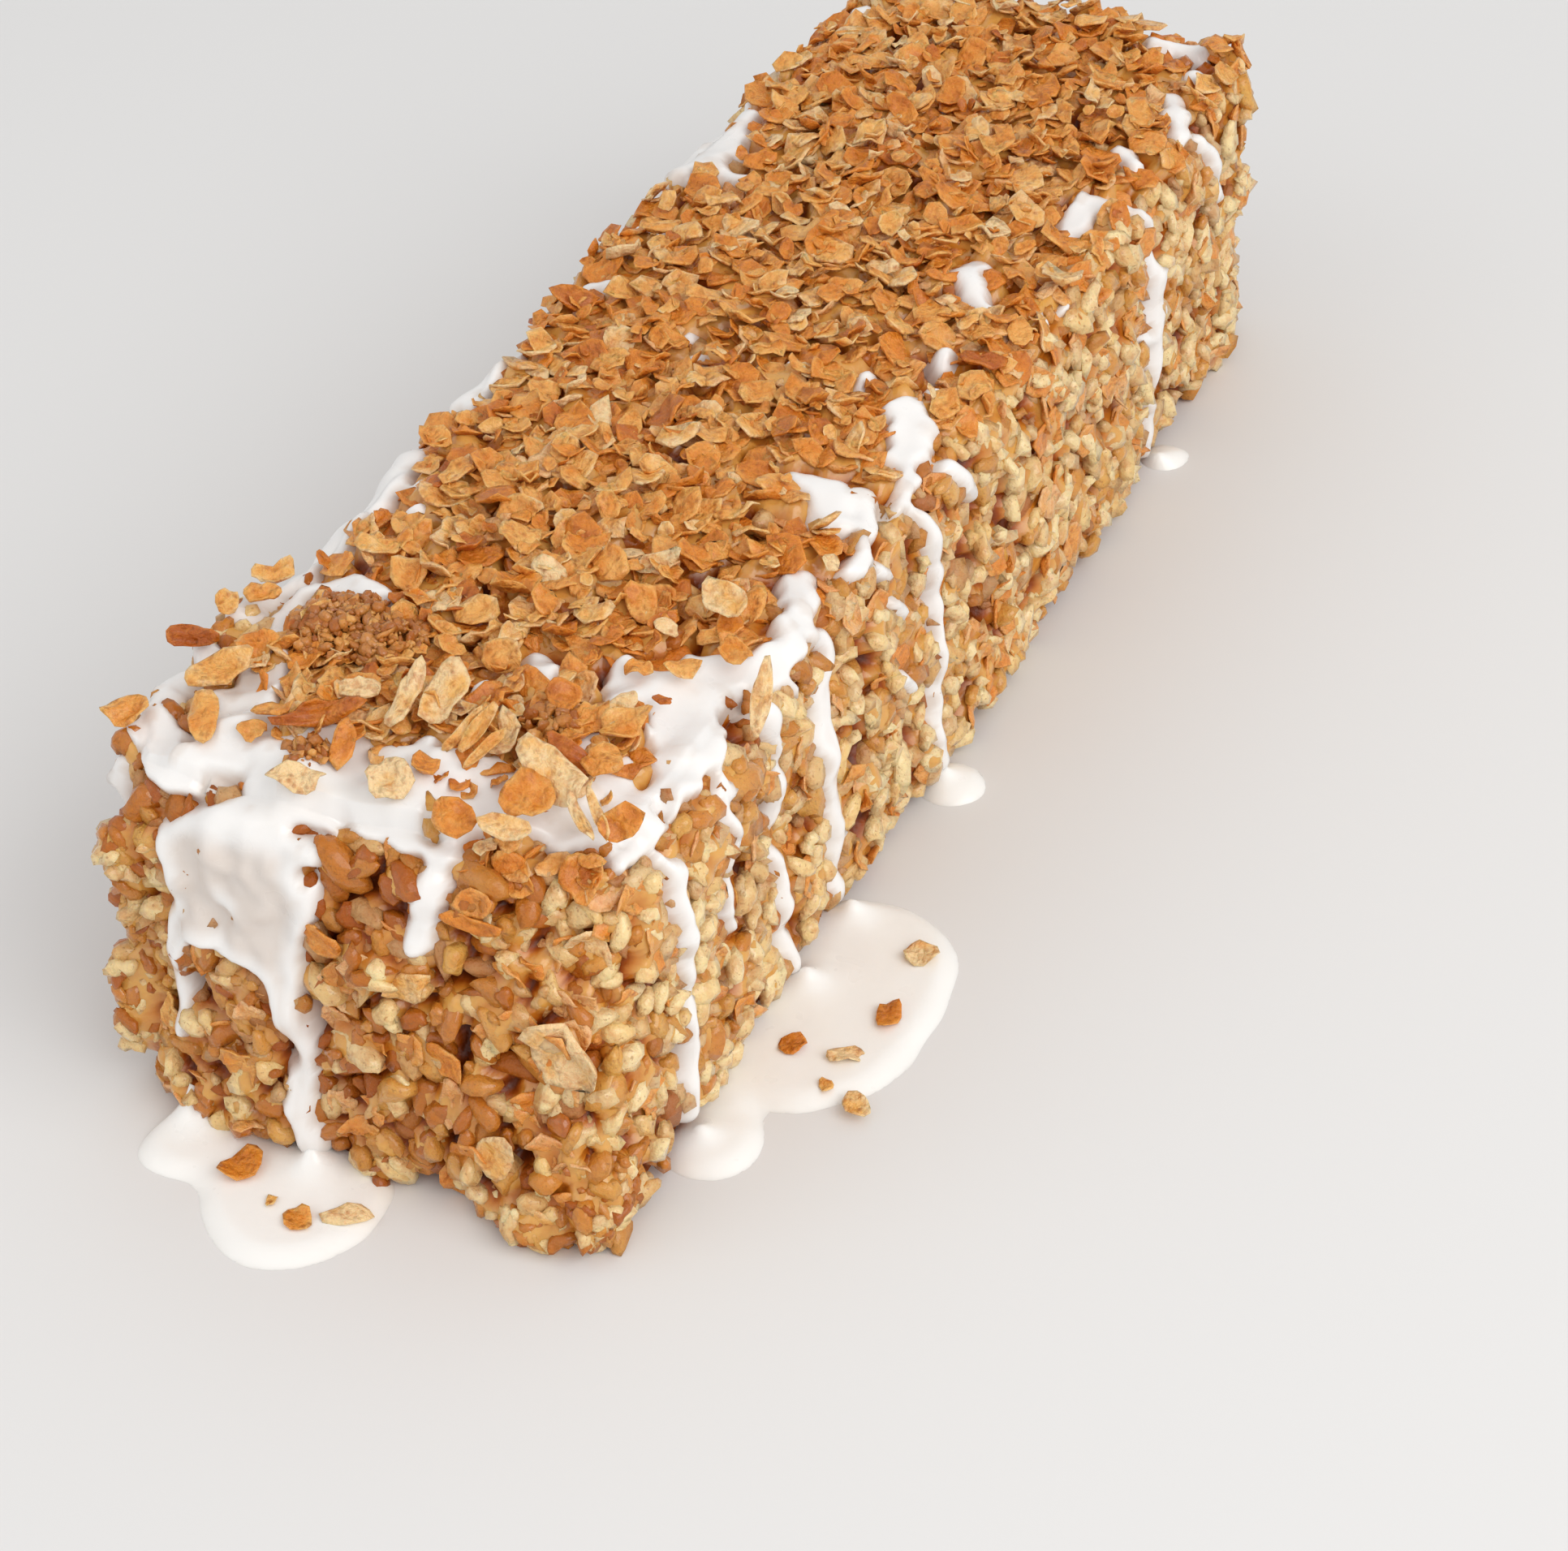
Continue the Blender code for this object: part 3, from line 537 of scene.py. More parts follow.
def bits_piece(name, groups, finish):
    """One piece of many bits. A group is (forms, (triangles, quads), bits, tone, share along a bit)."""
    points, triangles, quads, tones, depths, rims = [], [], [], [], [], []
    count = 0
    for forms, (tri, quad), bits, tone, rim in groups:
        placed = bits["centre"][:, None] + (forms * bits["half"][:, None]) @ bits["frame"]
        number, each = placed.shape[:2]
        starts = count + np.arange(number)[:, None, None] * each
        points.append(placed.reshape(-1, 3))
        triangles.append((tri[None] + starts).reshape(-1, 3))
        quads.append((quad[None] + starts).reshape(-1, 4))
        tones.append(np.repeat(tone, each))
        # Each bit's rise is kept as its depth, and the finishes paint shade on the bits that sit low
        depths.append(np.repeat(bits["rise"], each))
        rims.append(np.tile(rim, number))
        count += number * each
    points = np.concatenate(points)
    points[:, 2] = np.maximum(points[:, 2], OFF_FLOOR)
    values = {"tone": np.concatenate(tones), "depth": np.concatenate(depths), "rim": np.concatenate(rims)}
    return mesh_piece(name, points, np.concatenate(quads), values, finish, np.concatenate(triangles))


# Finishes


class Value:
    """A shader socket that takes part in Python arithmetic; each operation adds its Math node."""

    def __init__(self, finish, socket):
        self.finish = finish
        self.socket = socket

    def math(self, operation, first, second):
        return self.finish.node("ShaderNodeMath", {"operation": operation}, {0: first, 1: second})

    def __add__(self, other):
        return self.math("ADD", self, other)

    def __sub__(self, other):
        return self.math("SUBTRACT", self, other)

    def __rsub__(self, other):
        return self.math("SUBTRACT", other, self)

    def __mul__(self, other):
        return self.math("MULTIPLY", self, other)

    __radd__ = __add__
    __rmul__ = __mul__


class Finish:
    """A material being written, with a Principled shader."""

    def __init__(self, name, **fixed):
        """fixed holds the shader's constant sockets by name, with _ for a space."""
        self.material = bpy.data.materials.new(name)
        self.material.use_nodes = True
        self.tree = self.material.node_tree
        self.shader = self.tree.nodes["Principled BSDF"]
        for socket, value in fixed.items():
            self.shader.inputs[socket.replace("_", " ")].default_value = value

    def node(self, kind, settings, inputs, output=0):
        """Any node: its settings first, a ramp's stops among them, then its sockets' values or links."""
        made = self.tree.nodes.new(kind)
        for name, value in settings.items():
            if name == "stops":
                ramp = made.color_ramp.elements
                while len(ramp) < len(value):
                    ramp.new(0.5)
                for element, (place, colour) in zip(ramp, value):
                    element.position = place
                    element.color = (*colour, 1)
            else:
                setattr(made, name, value)
        for name, value in inputs.items():
            self.put(made.inputs[name], value)
        return Value(self, made.outputs[output])

    def put(self, socket, value):
        """Link a Value to a socket, or set a number or a colour on it."""
        if isinstance(value, Value):
            self.tree.links.new(value.socket, socket)
        elif isinstance(value, tuple):
            socket.default_value = (*value, 1)[: len(socket.default_value)]
        else:
            socket.default_value = value

    def place(self):
        return self.node("ShaderNodeTexCoord", {}, {}, "Object")

    def attribute(self, name):
        return self.node("ShaderNodeAttribute", {"attribute_name": name}, {}, "Fac")

    def noise(self, spacing, detail=2.0, roughness=0.5, distortion=0.0):
        """Smooth noise whose lumps are about spacing millimetres apart."""
        sockets = {"Vector": self.place(), "Scale": 1 / (spacing * MM), "Detail": detail}
        sockets |= {"Roughness": roughness, "Distortion": distortion}
        return self.node("ShaderNodeTexNoise", {}, sockets, "Fac")

    def span(self, value, low, high, to_low=0.0, to_high=1.0):
        """value carried from low..high to to_low..to_high, held at both ends."""
        sockets = {0: value, 1: low, 2: high, 3: to_low, 4: to_high}
        return self.node("ShaderNodeMapRange", {"clamp": True}, sockets)

    def mix(self, share, first, second):
        """The colour first, turning to second as share goes to 1."""
        return self.node("ShaderNodeMix", {"data_type": "RGBA"}, {0: share, 6: first, 7: second}, 2)

    def ramp(self, value, stops):
        return self.node("ShaderNodeValToRGB", {"stops": stops}, {0: value})

    def bump(self, height, strength, distance):
        sockets = {"Height": height, "Strength": strength, "Distance": distance * MM}
        return self.node("ShaderNodeBump", {}, sockets)

    def feed(self, **sockets):
        for socket, value in sockets.items():
            self.put(self.shader.inputs[socket.replace("_", " ")], value)


# Linear colours, and ramps of them as (share, colour)
PALE_STOPS = ((0, (0.69, 0.33, 0.062)), (0.45, (0.81, 0.52, 0.18)), (1, (0.88, 0.69, 0.36)))
TOASTED_STOPS = ((0, (0.40, 0.10, 0.006)), (0.5, (0.60, 0.225, 0.028)), (1, (0.71, 0.39, 0.09)))
CRUMB_STOPS = ((0, (0.38, 0.12, 0.018)), (0.5, (0.62, 0.25, 0.05)), (1, (0.82, 0.45, 0.13)))
FLAKE_STOPS = (
    (0, (0.44, 0.10, 0.006)), (0.4, (0.75, 0.265, 0.028)),
    (0.75, (0.84, 0.46, 0.13)), (1, (0.88, 0.64, 0.34)),
)
# The binder's darker stops are painted shade for its recesses, and the upper ones are its own amber
BINDER_STOPS = (
    (0, (0.13, 0.022, 0.002)), (0.35, (0.34, 0.068, 0.003)),
    (0.62, (0.56, 0.19, 0.016)), (1, (0.70, 0.36, 0.08)),
)
CARAMEL, CRUMB_COAT = (0.57, 0.18, 0.014), (0.40, 0.14, 0.025)
# The sunk colours are painted shade: grains and flakes turn to them as they sink among the others
SUNK_GRAIN_SHADE, SPECK = (0.34, 0.07, 0.003), (0.34, 0.13, 0.03)
SCORCHED, BLISTER, SUNK_FLAKE_SHADE = (0.58, 0.17, 0.016), (0.42, 0.10, 0.008), (0.74, 0.22, 0.018)
BLISTER_SPACING = 1.5


def grain_finish(name, stops, coating):
    """Puffed grain under a thin caramel coat: tone picks its colour, and painted shade darkens it as it
    sinks.
    """
    finish = Finish(
        name,
        Subsurface_Weight=0.25,
        Subsurface_Radius=(1.0, 0.6, 0.35),
        Subsurface_Scale=0.0007,
        Coat_Roughness=0.1,
        Specular_IOR_Level=0.25,
    )
    toasting = finish.noise(4.5, 3) * 0.5 - 0.25
    colour = finish.ramp(finish.attribute("tone") + toasting * 0.7, stops)
    patches = finish.span(finish.noise(3.2, 3, 0.6, 0.4), 0.46, 0.7)
    colour = finish.mix(patches * 0.55, colour, coating)
    # Painted shade: the deeper a grain sits among the others, the more it turns to a dark brown
    sunk_shade = finish.span(finish.attribute("depth"), -2.4, 0.3, 0.85, 0.0)
    colour = finish.mix(sunk_shade, colour, SUNK_GRAIN_SHADE)
    specks = finish.span(finish.noise(0.7, 1), 0.64, 0.72)
    colour = finish.mix(specks * 0.5, colour, SPECK)
    rough = finish.noise(1.6, 3) * 0.3 + 0.2
    coat = finish.span(finish.noise(5, 2), 0.35, 0.6, 0.3, 1.0) * (1 - sunk_shade)
    dimples = finish.noise(1.2, 3, 0.6) * 0.7 + finish.noise(2.8, 1) * 0.9
    finish.feed(Base_Color=colour, Roughness=rough, Coat_Weight=coat, Normal=finish.bump(dimples, 0.95, 0.8))
    return finish.material


def flake_finish(name, stops, gloss):
    """Toasted flake: tone picks its colour, painted light pales the rim, small brown blisters cover it, and
    painted shade darkens it as it sinks.
    """
    finish = Finish(
        name,
        Subsurface_Weight=0.4,
        Subsurface_Radius=(1.0, 0.7, 0.5),
        Subsurface_Scale=0.0005,
        Coat_Roughness=0.2,
        Specular_IOR_Level=0.3,
    )
    toasting = finish.noise(4.5, 3, 0.6) - 0.5
    # Painted light: the thin rim is made paler for the light that shines through it and the highlights along
    # it
    rim_light = finish.span(finish.attribute("rim"), 0.75, 1.0, 0.0, 0.16)
    colour = finish.ramp(finish.attribute("tone") + toasting + rim_light, stops)
    cells = {"Vector": finish.place(), "Scale": 1 / (BLISTER_SPACING * MM)}
    blisters = finish.node("ShaderNodeTexVoronoi", {}, cells, "Distance")
    scorched = finish.span(finish.noise(2.3, 3, 0.65, 0.5), 0.5, 0.66)
    colour = finish.mix(scorched * 0.45, colour, SCORCHED)
    spots = finish.span(blisters, 0.14, 0.36, 1.0, 0.0) * finish.span(finish.noise(3, 1), 0.42, 0.58)
    colour = finish.mix(spots * 0.5, colour, BLISTER)
    # Painted shade: flakes that lie low in the heap turn to a deep red-brown
    sunk_shade = finish.span(finish.attribute("depth"), -1.5, 3.0, 0.7, 0.0)
    colour = finish.mix(sunk_shade, colour, SUNK_FLAKE_SHADE)
    rough = finish.noise(2, 3) * 0.25 + 0.28
    bumps = finish.noise(1.4, 3, 0.6) + finish.noise(3.2, 1) * 0.8 + finish.span(blisters, 0.0, 0.5, 0.4, 0.0)
    finish.feed(Base_Color=colour, Roughness=rough, Coat_Weight=gloss, Normal=finish.bump(bumps, 0.85, 1.2))
    return finish.material


def binder_finish():
    """Caramel between the grains: amber where it stands out, and painted shade turns it dark brown in the
    recesses.
    """
    finish = Finish(
        "caramel binder",
        Subsurface_Weight=0.25,
        Subsurface_Radius=(1.0, 0.5, 0.2),
        Subsurface_Scale=0.0012,
        Coat_Roughness=0.12,
        Specular_IOR_Level=0.3,
    )
    # Painted shade: where the binder lies low between the grains it turns dark brown
    raised = finish.attribute("depth") + (finish.noise(5, 3) - 0.5) * 0.5
    colour = finish.ramp(raised, BINDER_STOPS)
    rough = finish.noise(2.4, 2) * 0.25 + 0.22
    coat = finish.span(raised, 0.4, 0.7, 0.0, 0.8)
    grain = finish.bump(finish.noise(1.8, 2), 0.5, 0.7)
    finish.feed(Base_Color=colour, Roughness=rough, Coat_Weight=coat, Normal=grain)
    return finish.material


def icing_finish(name, thick_colour, thin_colour):
    """Set royal icing: opaque and softly glossy, faintly coloured by the grains where it is thin."""
    finish = Finish(
        name,
        Subsurface_Weight=0.2,
        Subsurface_Radius=(1.0, 0.95, 0.9),
        Subsurface_Scale=0.001,
        Coat_Roughness=0.15,
    )
    cover = finish.attribute("cover") + (finish.noise(4, 2) - 0.5) * 0.25
    colour = finish.mix(finish.span(cover, 0.0, 1.0), thin_colour, thick_colour)
    rough = finish.noise(6, 2) * 0.16 + 0.22
    ripple = finish.bump(finish.noise(3, 2), 0.12, 0.6)
    finish.feed(Base_Color=colour, Roughness=rough, Coat_Weight=0.35, Normal=ripple)
    return finish.material


# The loaf's bits

rng = np.random.default_rng(17)
GRAIN_REACH, FLAKE_REACH, HEAP_REACH, CRUMB_REACH = 6, 8, 13, 3


def grain_bits(homes, rise):
    """Puffed grains of the real ones' sizes, at random leans."""
    count = len(homes)
    size = rng.uniform(0.8, 1.25, count) * np.where(rng.uniform(0, 1, count) < 0.12, 1.3, 1)
    long_half = 2.8 * size * rng.uniform(0.75, 1.3, count)
    thick_half = 1.85 * size
    halves = np.stack([long_half, thick_half * rng.uniform(0.9, 1.15, count), thick_half], axis=1)
    return bits_at(homes, rng.uniform(*rise, count), (0, 0.75), halves, GRAIN_REACH, rng)


def flake_bits(homes, rise, leans, radius):
    """Flakes of about that radius, leaning by an angle between the two leans."""
    count = len(homes)
    size = radius * rng.uniform(0.72, 1.2, count)
    halves = np.stack([size, size, size], axis=1)
    return bits_at(homes, rng.uniform(*rise, count), leans, halves, FLAKE_REACH, rng)


def flat_halves(bits, thick=0.24):
    """The same flakes as thin ellipsoids, for the relief that the binder and the icing follow."""
    return {**bits, "half": bits["half"] * (0.95, 0.75, thick)}


chains = icing_chains()
under = on_top(UNDER_RUNS)
deep_grains = grain_bits(wall_homes(1150, low=2, high=70, seed=31), rise=(-2.8, -1.2))
outer_grains = grain_bits(wall_homes(2850, low=1.5, high=71, seed=32), rise=(-0.9, 0.8))
top_grains = grain_bits(top_homes(430, margin=1, seed=38), rise=(-1.4, -0.2))
wall_flakes = flake_bits(wall_homes(620, low=4, high=69, seed=33), (-0.6, 0.8), (0.05, 0.55), radius=4.0)
low_flakes = flake_bits(top_homes(820, margin=0.5, seed=34), (-0.8, 1.0), (0.0, 0.5), radius=4.4)
mid_flakes = flake_bits(top_homes(900, margin=0.5, seed=35), (0.8, 2.6), (0.05, 0.65), radius=4.0)
high_flakes = flake_bits(top_homes(640, margin=2.0, seed=36), (2.2, 4.0), (0.1, 0.75), radius=3.9)
chips = flake_bits(top_homes(700, margin=1.0, seed=37), (1.6, 4.0), (0.0, 1.0), radius=2.2)

# Heaps of extra grains that stand out past the block: (centre, radii, number, wall)
FRONT, LEFT = "front", "left"
HEAPS = (
    ((-49, -154, 18), (6.5, 7, 15), 95, FRONT),
    ((-46, -155, 48), (4.5, 5, 18), 55, FRONT),
    ((34, -162.5, 4.5), (15, 9, 5.5), 95, FRONT),
    ((45.5, -160, 8), (4.5, 9.5, 9), 60, FRONT),
    ((3, -160, 4), (8, 7, 5), 40, FRONT),
    ((-22, -158, 11), (9, 4, 6), 25, FRONT),
    ((-46.5, -138, 66), (6, 14, 6.5), 60, LEFT),
    ((-47, -112, 66.5), (6, 16, 6.5), 70, LEFT),
)


def heap_bits():
    """Grains at random places in the outer part of ellipsoids, their home the nearest place on a wall."""
    groups = []
    for centre, radii, count, wall in HEAPS:
        way = rng.normal(size=(count, 3))
        way /= np.linalg.norm(way, axis=1)[:, None]
        at = np.array(centre) + way * radii * rng.uniform(0.45, 0.85, (count, 1))
        size = rng.uniform(0.8, 1.15, count)[:, None]
        frames = turned(way, rng.uniform(0, 6, count), rng.uniform(0, 0.8, count), rng.uniform(0, 6, count))
        home = np.clip(at, (-HALF[0], -HALF[1], 0), (HALF[0], HALF[1], HEIGHT))
        across = 1 if wall == FRONT else 0
        home[:, across] = -HALF[across]
        rise = rng.uniform(-1.2, 0.8, count)
        groups.append(bits_of(home, at, frames, size * (2.8, 1.9, 1.85), rise, HEAP_REACH))
    return joined(*groups)


# In front of this the heap is sparse, because the chosen flakes lie there
SPARSE_Y = -136


def beyond_icing(bits, runs=chains):
    """How far each bit lies outside the icing's outline."""
    return inside_chains(bits["centre"], loaf_surface(bits["home"])[1], runs, 1.5)


def clear_of_icing(bits, gap, share=1):
    """The bits more than gap outside the icing, and in front of SPARSE_Y only one of them out of share."""
    kept = (bits["home"][:, 1] > SPARSE_Y) | (np.arange(len(bits["home"])) % share == 0)
    return chosen(bits, (beyond_icing(bits) > gap) & kept)


def pressed_in(bits, gap, by, runs=chains):
    """The bits sunk by that much where they are less than gap outside the icing."""
    by = by * (beyond_icing(bits, runs) < gap)
    out = loaf_surface(bits["home"])[1]
    return {**bits, "rise": bits["rise"] - by, "centre": bits["centre"] - by[:, None] * out}


# Dark hollows in the front wall: (x, y, z, radius)
HOLLOWS = (
    (30, -157, 63, 3.2), (28, -160, 43, 2.8), (1, -165, 8, 4), (0, -160, 39, 2.4), (7, -162, 27, 2.2),
    (-5.5, -157, 59, 2.6), (-7, -156, 71, 2.8), (41, -158, 58, 3.4), (-23, -163, 12, 3),
)


def clear_of_hollows(bits):
    """The bits whose middle isn't in a hollow."""
    away = [np.linalg.norm(bits["centre"] - hollow[:3], axis=1) - hollow[3] for hollow in HOLLOWS]
    return chosen(bits, np.min(away, axis=0) > 0)


heaps = heap_bits()
deep_grains, outer_grains, wall_flakes = map(clear_of_hollows, (deep_grains, outer_grains, wall_flakes))
mid_flakes = clear_of_icing(mid_flakes, gap=1.4, share=2)
high_flakes = clear_of_icing(high_flakes, gap=2.6, share=2)
chips = clear_of_icing(chips, gap=1.5, share=2)
low_flakes = clear_of_icing(low_flakes, gap=-0.5)
low_flakes = pressed_in(low_flakes, gap=3.5, by=1.5)
low_flakes = pressed_in(low_flakes, gap=0, by=1.8, runs=under)
wall_flakes = clear_of_icing(wall_flakes, gap=1.2)
wall_flakes = pressed_in(wall_flakes, gap=4, by=1.2)
outer_grains = pressed_in(outer_grains, gap=2, by=1.2)
outer_grains = pressed_in(outer_grains, gap=-1, by=0.7)

# Flakes that the eye picks out: (x, y, z, half length, half breadth, direction in degrees, lean, tone)
FEATURED = (
    (-10, -151, 76.5, 5, 3.2, 15, 0.3, 0.95), (5, -146, 77, 3.9, 3.5, 60, 0.3, 1.0),
    (19, -150, 76.5, 3.4, 3.8, 80, 0.6, 0.35), (28, -149, 76, 5.2, 2.5, 20, 0.5, 0.8),
    (30.5, -137, 79, 7.2, 4.3, -20, 0.4, 0.9), (36, -130, 78.5, 3.6, 3.3, 70, 0.3, 0.55),
    (28.5, -142, 77.5, 4.4, 3.6, 40, 0.5, 0.45), (38.5, -143, 77, 4.8, 1.2, -35, 0.5, 0.85),
    (41, -141.5, 77.5, 4.6, 1.2, -45, 0.5, 0.8), (45, -141, 76.5, 3.8, 3.4, 80, 1.0, 0.4),
    (30, -131, 80, 4, 1.9, 0, 0.6, 0.0), (-48.5, -144, 75, 4.3, 2.6, 25, 0.4, 0.6),
    (-49.5, -122, 75.5, 4.2, 2.8, 35, 0.8, 0.0), (-37.5, -131, 77.5, 6.4, 3.8, 55, 0.35, 0.7),
    (-34, -142, 76.5, 4.6, 3.6, 120, 0.3, 0.6), (-24, -142.5, 76.5, 2.5, 1.9, 25, 0.2, 0.55),
    (-35.5, -122, 77.5, 3.8, 3, 30, 0.4, 0.5), (-14, -136.5, 78.5, 6.8, 2.2, 40, 0.6, 0.05),
    (-7, -141, 77.5, 4.6, 2.3, 110, 0.7, 0.4), (-11.5, -128, 78.5, 3.5, 2.4, 25, 0.3, 1.0),
    (-2, -128, 79.5, 6, 2.5, 95, 0.5, 0.95), (3.5, -124.5, 79.5, 5.8, 4, 110, 0.5, 0.9),
    (11, -132, 79, 5, 1.3, 80, 0.8, 0.75), (13.5, -131, 79.5, 5, 1.3, 85, 0.8, 0.7),
    (16.5, -134, 78.5, 4.8, 1.4, 70, 0.6, 0.65), (22, -117, 78.5, 3.1, 4, 100, 0.4, 0.3),
    (30.5, -113, 76.6, 3.3, 3, 60, 0.15, 0.95), (26.5, -119, 77, 3.4, 2.8, 80, 0.25, 0.5),
    (34, -118.5, 76.8, 4.5, 2.8, 25, 0.2, 0.55), (36, -108.5, 75.8, 2.2, 0.9, 5, 0.1, 0.05),
    (28.5, -102.5, 76.2, 2.6, 1.5, 25, 0.15, 0.45), (36, -100, 76.4, 3.3, 2.2, 25, 0.2, 0.65),
    (42, -92.5, 76.4, 3.6, 2.1, -15, 0.3, 0.45), (51, -101, 75, 6.4, 1.9, -62, 0.8, 0.9),
    (35, -82, 78.5, 4.2, 3.7, 60, 0.35, 0.85), (-46, -100, 75, 4, 2.2, 40, 0.2, 0.7),
    (-49, -111, 75.5, 2.6, 2.4, 90, 0.6, 0.7), (-44, -107, 76, 3.4, 2.6, 0, 0.2, 0.5),
)
# The same on the front wall: (x, z, half length, half breadth, direction in degrees, tone)
FRONT_FEATURED = (
    (42, 39, 6.6, 5.4, -30, 0.9), (45, 56, 3.9, 4.8, 20, 0.9), (30, 69, 3.4, 4.8, 100, 0.4),
    (42.5, 71, 3.8, 3.6, 0, 0.45), (24, 60, 4.8, 2.3, 15, 0.3), (28.5, 17, 4.2, 3.6, 20, 0.8),
    (18, 31, 4.2, 2.8, -25, 0.35), (-4, 50, 2.6, 4.4, 100, 0.35), (-23, 19, 4.6, 3.4, -50, 0.5),
    (36, 4.5, 4.6, 3.8, 10, 0.7), (12, 45, 4.4, 3.4, 40, 0.75), (-44, 20, 5, 2.6, 100, 0.6),
)

# The direction that flakes on top lean to, in radians, and how a chosen flake's breadth is drawn in
TO_VIEWER, DRAWN_IN = 3.6, 0.78


def featured_flakes():
    """The chosen flakes as bits, with their tones. Those on the front wall face along its lean."""
    x, y, z, long_half, broad_half, direction, lean, tone = np.array(FEATURED).T
    upright = np.tile((0.0, 0, 1), (len(x), 1))
    frames = turned(upright, np.radians(direction - 90), lean, np.full(len(x), TO_VIEWER))
    centre = np.stack([x, y, z - 0.4], axis=1)
    home = at_height(centre[:, :2], HEIGHT)
    half = np.stack([long_half, broad_half / DRAWN_IN, 0.5 * (long_half + broad_half) + 0.6], axis=1)
    heaped = bits_of(home, centre, frames, half, np.full(len(x), 5.0), FLAKE_REACH)
    x, z, long_half, broad_half, direction, front_tone = np.array(FRONT_FEATURED).T
    home = np.stack([x, np.full(len(x), -HALF[1]), z], axis=1)
    point, out = loaf_surface(home)
    frames = turned(out, np.radians(direction), np.full(len(x), 0.15), np.linspace(0, 11, len(x)))
    half = np.stack([long_half, broad_half / DRAWN_IN, 0.5 * (long_half + broad_half)], axis=1)
    on_front = bits_of(home, point + 1.3 * out, frames, half, np.full(len(x), 2.6), FLAKE_REACH)
    return joined(heaped, on_front), np.concatenate([tone, front_tone])


# Crumbly brown clumps on top: (x, y, z, radius, height)
CLUMPS = (
    (-25, -111, 75.8, 9.5, 3.2), (-16, -112, 75.8, 7, 2.6),
    (-12, -144, 75.5, 4, 1.8), (22, -122, 76.2, 4.5, 1.6),
)
CRUMBS_PER_AREA = 3.2


def clump_bits():
    """Small crumbs over low domes: each lies at a random share of the dome's radius, height h(1 - s^2)."""
    groups = []
    for x, y, z, radius, height in CLUMPS:
        count = int(CRUMBS_PER_AREA * radius**2)
        share, angle = np.sqrt(rng.uniform(0, 1, count)), rng.uniform(0, 2 * np.pi, count)
        centre = np.stack([
            x + radius * share * np.cos(angle),
            y + radius * share * np.sin(angle),
            z + height * (1 - share**2) + rng.uniform(-0.5, 0.4, count),
        ], axis=1)
        size = rng.uniform(0.45, 1.4, count)
        half = size[:, None] * rng.uniform(0.4, 1.4, (count, 3))
        upright = np.tile((0.0, 0, 1), (count, 1))
        spin, tilt, lean_to = (rng.uniform(0, top, count) for top in (6, 1.4, 6))
        frames = turned(upright, spin, tilt, lean_to)
        home = at_height(centre[:, :2], HEIGHT)
        groups.append(bits_of(home, centre, frames, half, rng.uniform(-1.5, 1.5, count), CRUMB_REACH))
    return joined(*groups)


featured, featured_tone = featured_flakes()
clumps = clump_bits()
loaf_grains = joined(deep_grains, outer_grains, top_grains)

# Binder

BASE_INSETS = (0.96, 0.9, 0.8)


def binder_on_loaf():
    """The closed body between the grains: the relief of the bits, smoothed, drawn in and waved.

    How far a point is raised is mostly its height over the relief's wide mean, and a little more where it
    faces up; the finish paints shade where this is low. The flat base is rings of the lattice's foot drawn
    in, closed by a fan.
    """
    shell = Shell(1.05, 2.1)
    flat = joined(*map(flat_halves, (wall_flakes, low_flakes, mid_flakes)))
    relief = shell.relief((loaf_grains, heaps, flat), -3.4)
    soft, wide = shell.smooth(relief, 1), shell.smooth(relief, 14)
    glazed = waves(shell.point, 13, 81) + 0.5 * waves(shell.point, 5, 82)
    upward = ease(shell.out[:, 2])
    height = soft - 0.55 + 0.35 * np.clip(glazed, -1, 1) - 0.3 * upward
    raised = np.clip(0.62 + 0.34 * (soft - wide) + 0.1 * wide + 0.12 * upward, 0, 1)
    foot = shell.index[:, :, 0]
    loop = np.concatenate([foot[:-1, 0], foot[-1, :-1], foot[:0:-1, -1], foot[0, :0:-1]])
    points = [shell.point + shell.out * height[:, None]]
    rings = [loop]
    count = len(shell.point)
    for inset in BASE_INSETS:
        ring = shell.box[loop] * (inset, 1 - (1 - inset) * WIDTH / LENGTH, 0)
        points.append(loaf_surface(ring)[0])
        rings.append(count + np.arange(len(loop)))
        count += len(loop)
    points = np.concatenate([*points, np.zeros((1, 3))])
    points[:, 2] = np.maximum(points[:, 2], 0)
    raised = np.concatenate([raised, np.full(len(points) - len(raised), 0.3)])
    steps = zip(rings[:-1], rings[1:])
    base = [np.stack([b, np.roll(b, -1), np.roll(a, -1), a], axis=1) for a, b in steps]
    fan = np.stack([np.full(len(loop), count), np.roll(rings[-1], -1), rings[-1]], axis=1)
    quads = np.concatenate([shell.quads, *base])
    return mesh_piece("binder", points, quads, {"depth": raised}, binder_finish(), fan)


binder = binder_on_loaf()

# Grains and flakes

# In front of this the forms are finer
NEAR_Y = -68
PLAIN_GRAIN = (6, 4)


def split_groups(bits, tone, form, near_kind, far_kind, rim_of):
    """The bits near the front end with finer forms, and the rest with plainer ones."""
    groups = []
    near = bits["home"][:, 1] < NEAR_Y
    for keep, kind in ((near, near_kind), (~near, far_kind)):
        if keep.any():
            sides, rings = kind
            number = rings if isinstance(rings, int) else len(rings)
            forms = form(int(keep.sum()), sides, rings, rng)
            rim = rim_of(sides, rings)
            groups.append((forms, lofted(number, sides), chosen(bits, keep), tone[keep], rim))
    return groups


def plain_rim(sides, rings):
    """No rim anywhere on a grain."""
    return np.zeros(2 + sides * rings)


def flake_rim(sides, rings):
    """Each point's share of the flake's radius."""
    return np.concatenate([[0], np.repeat([share for share, _ in rings], sides), [0]])


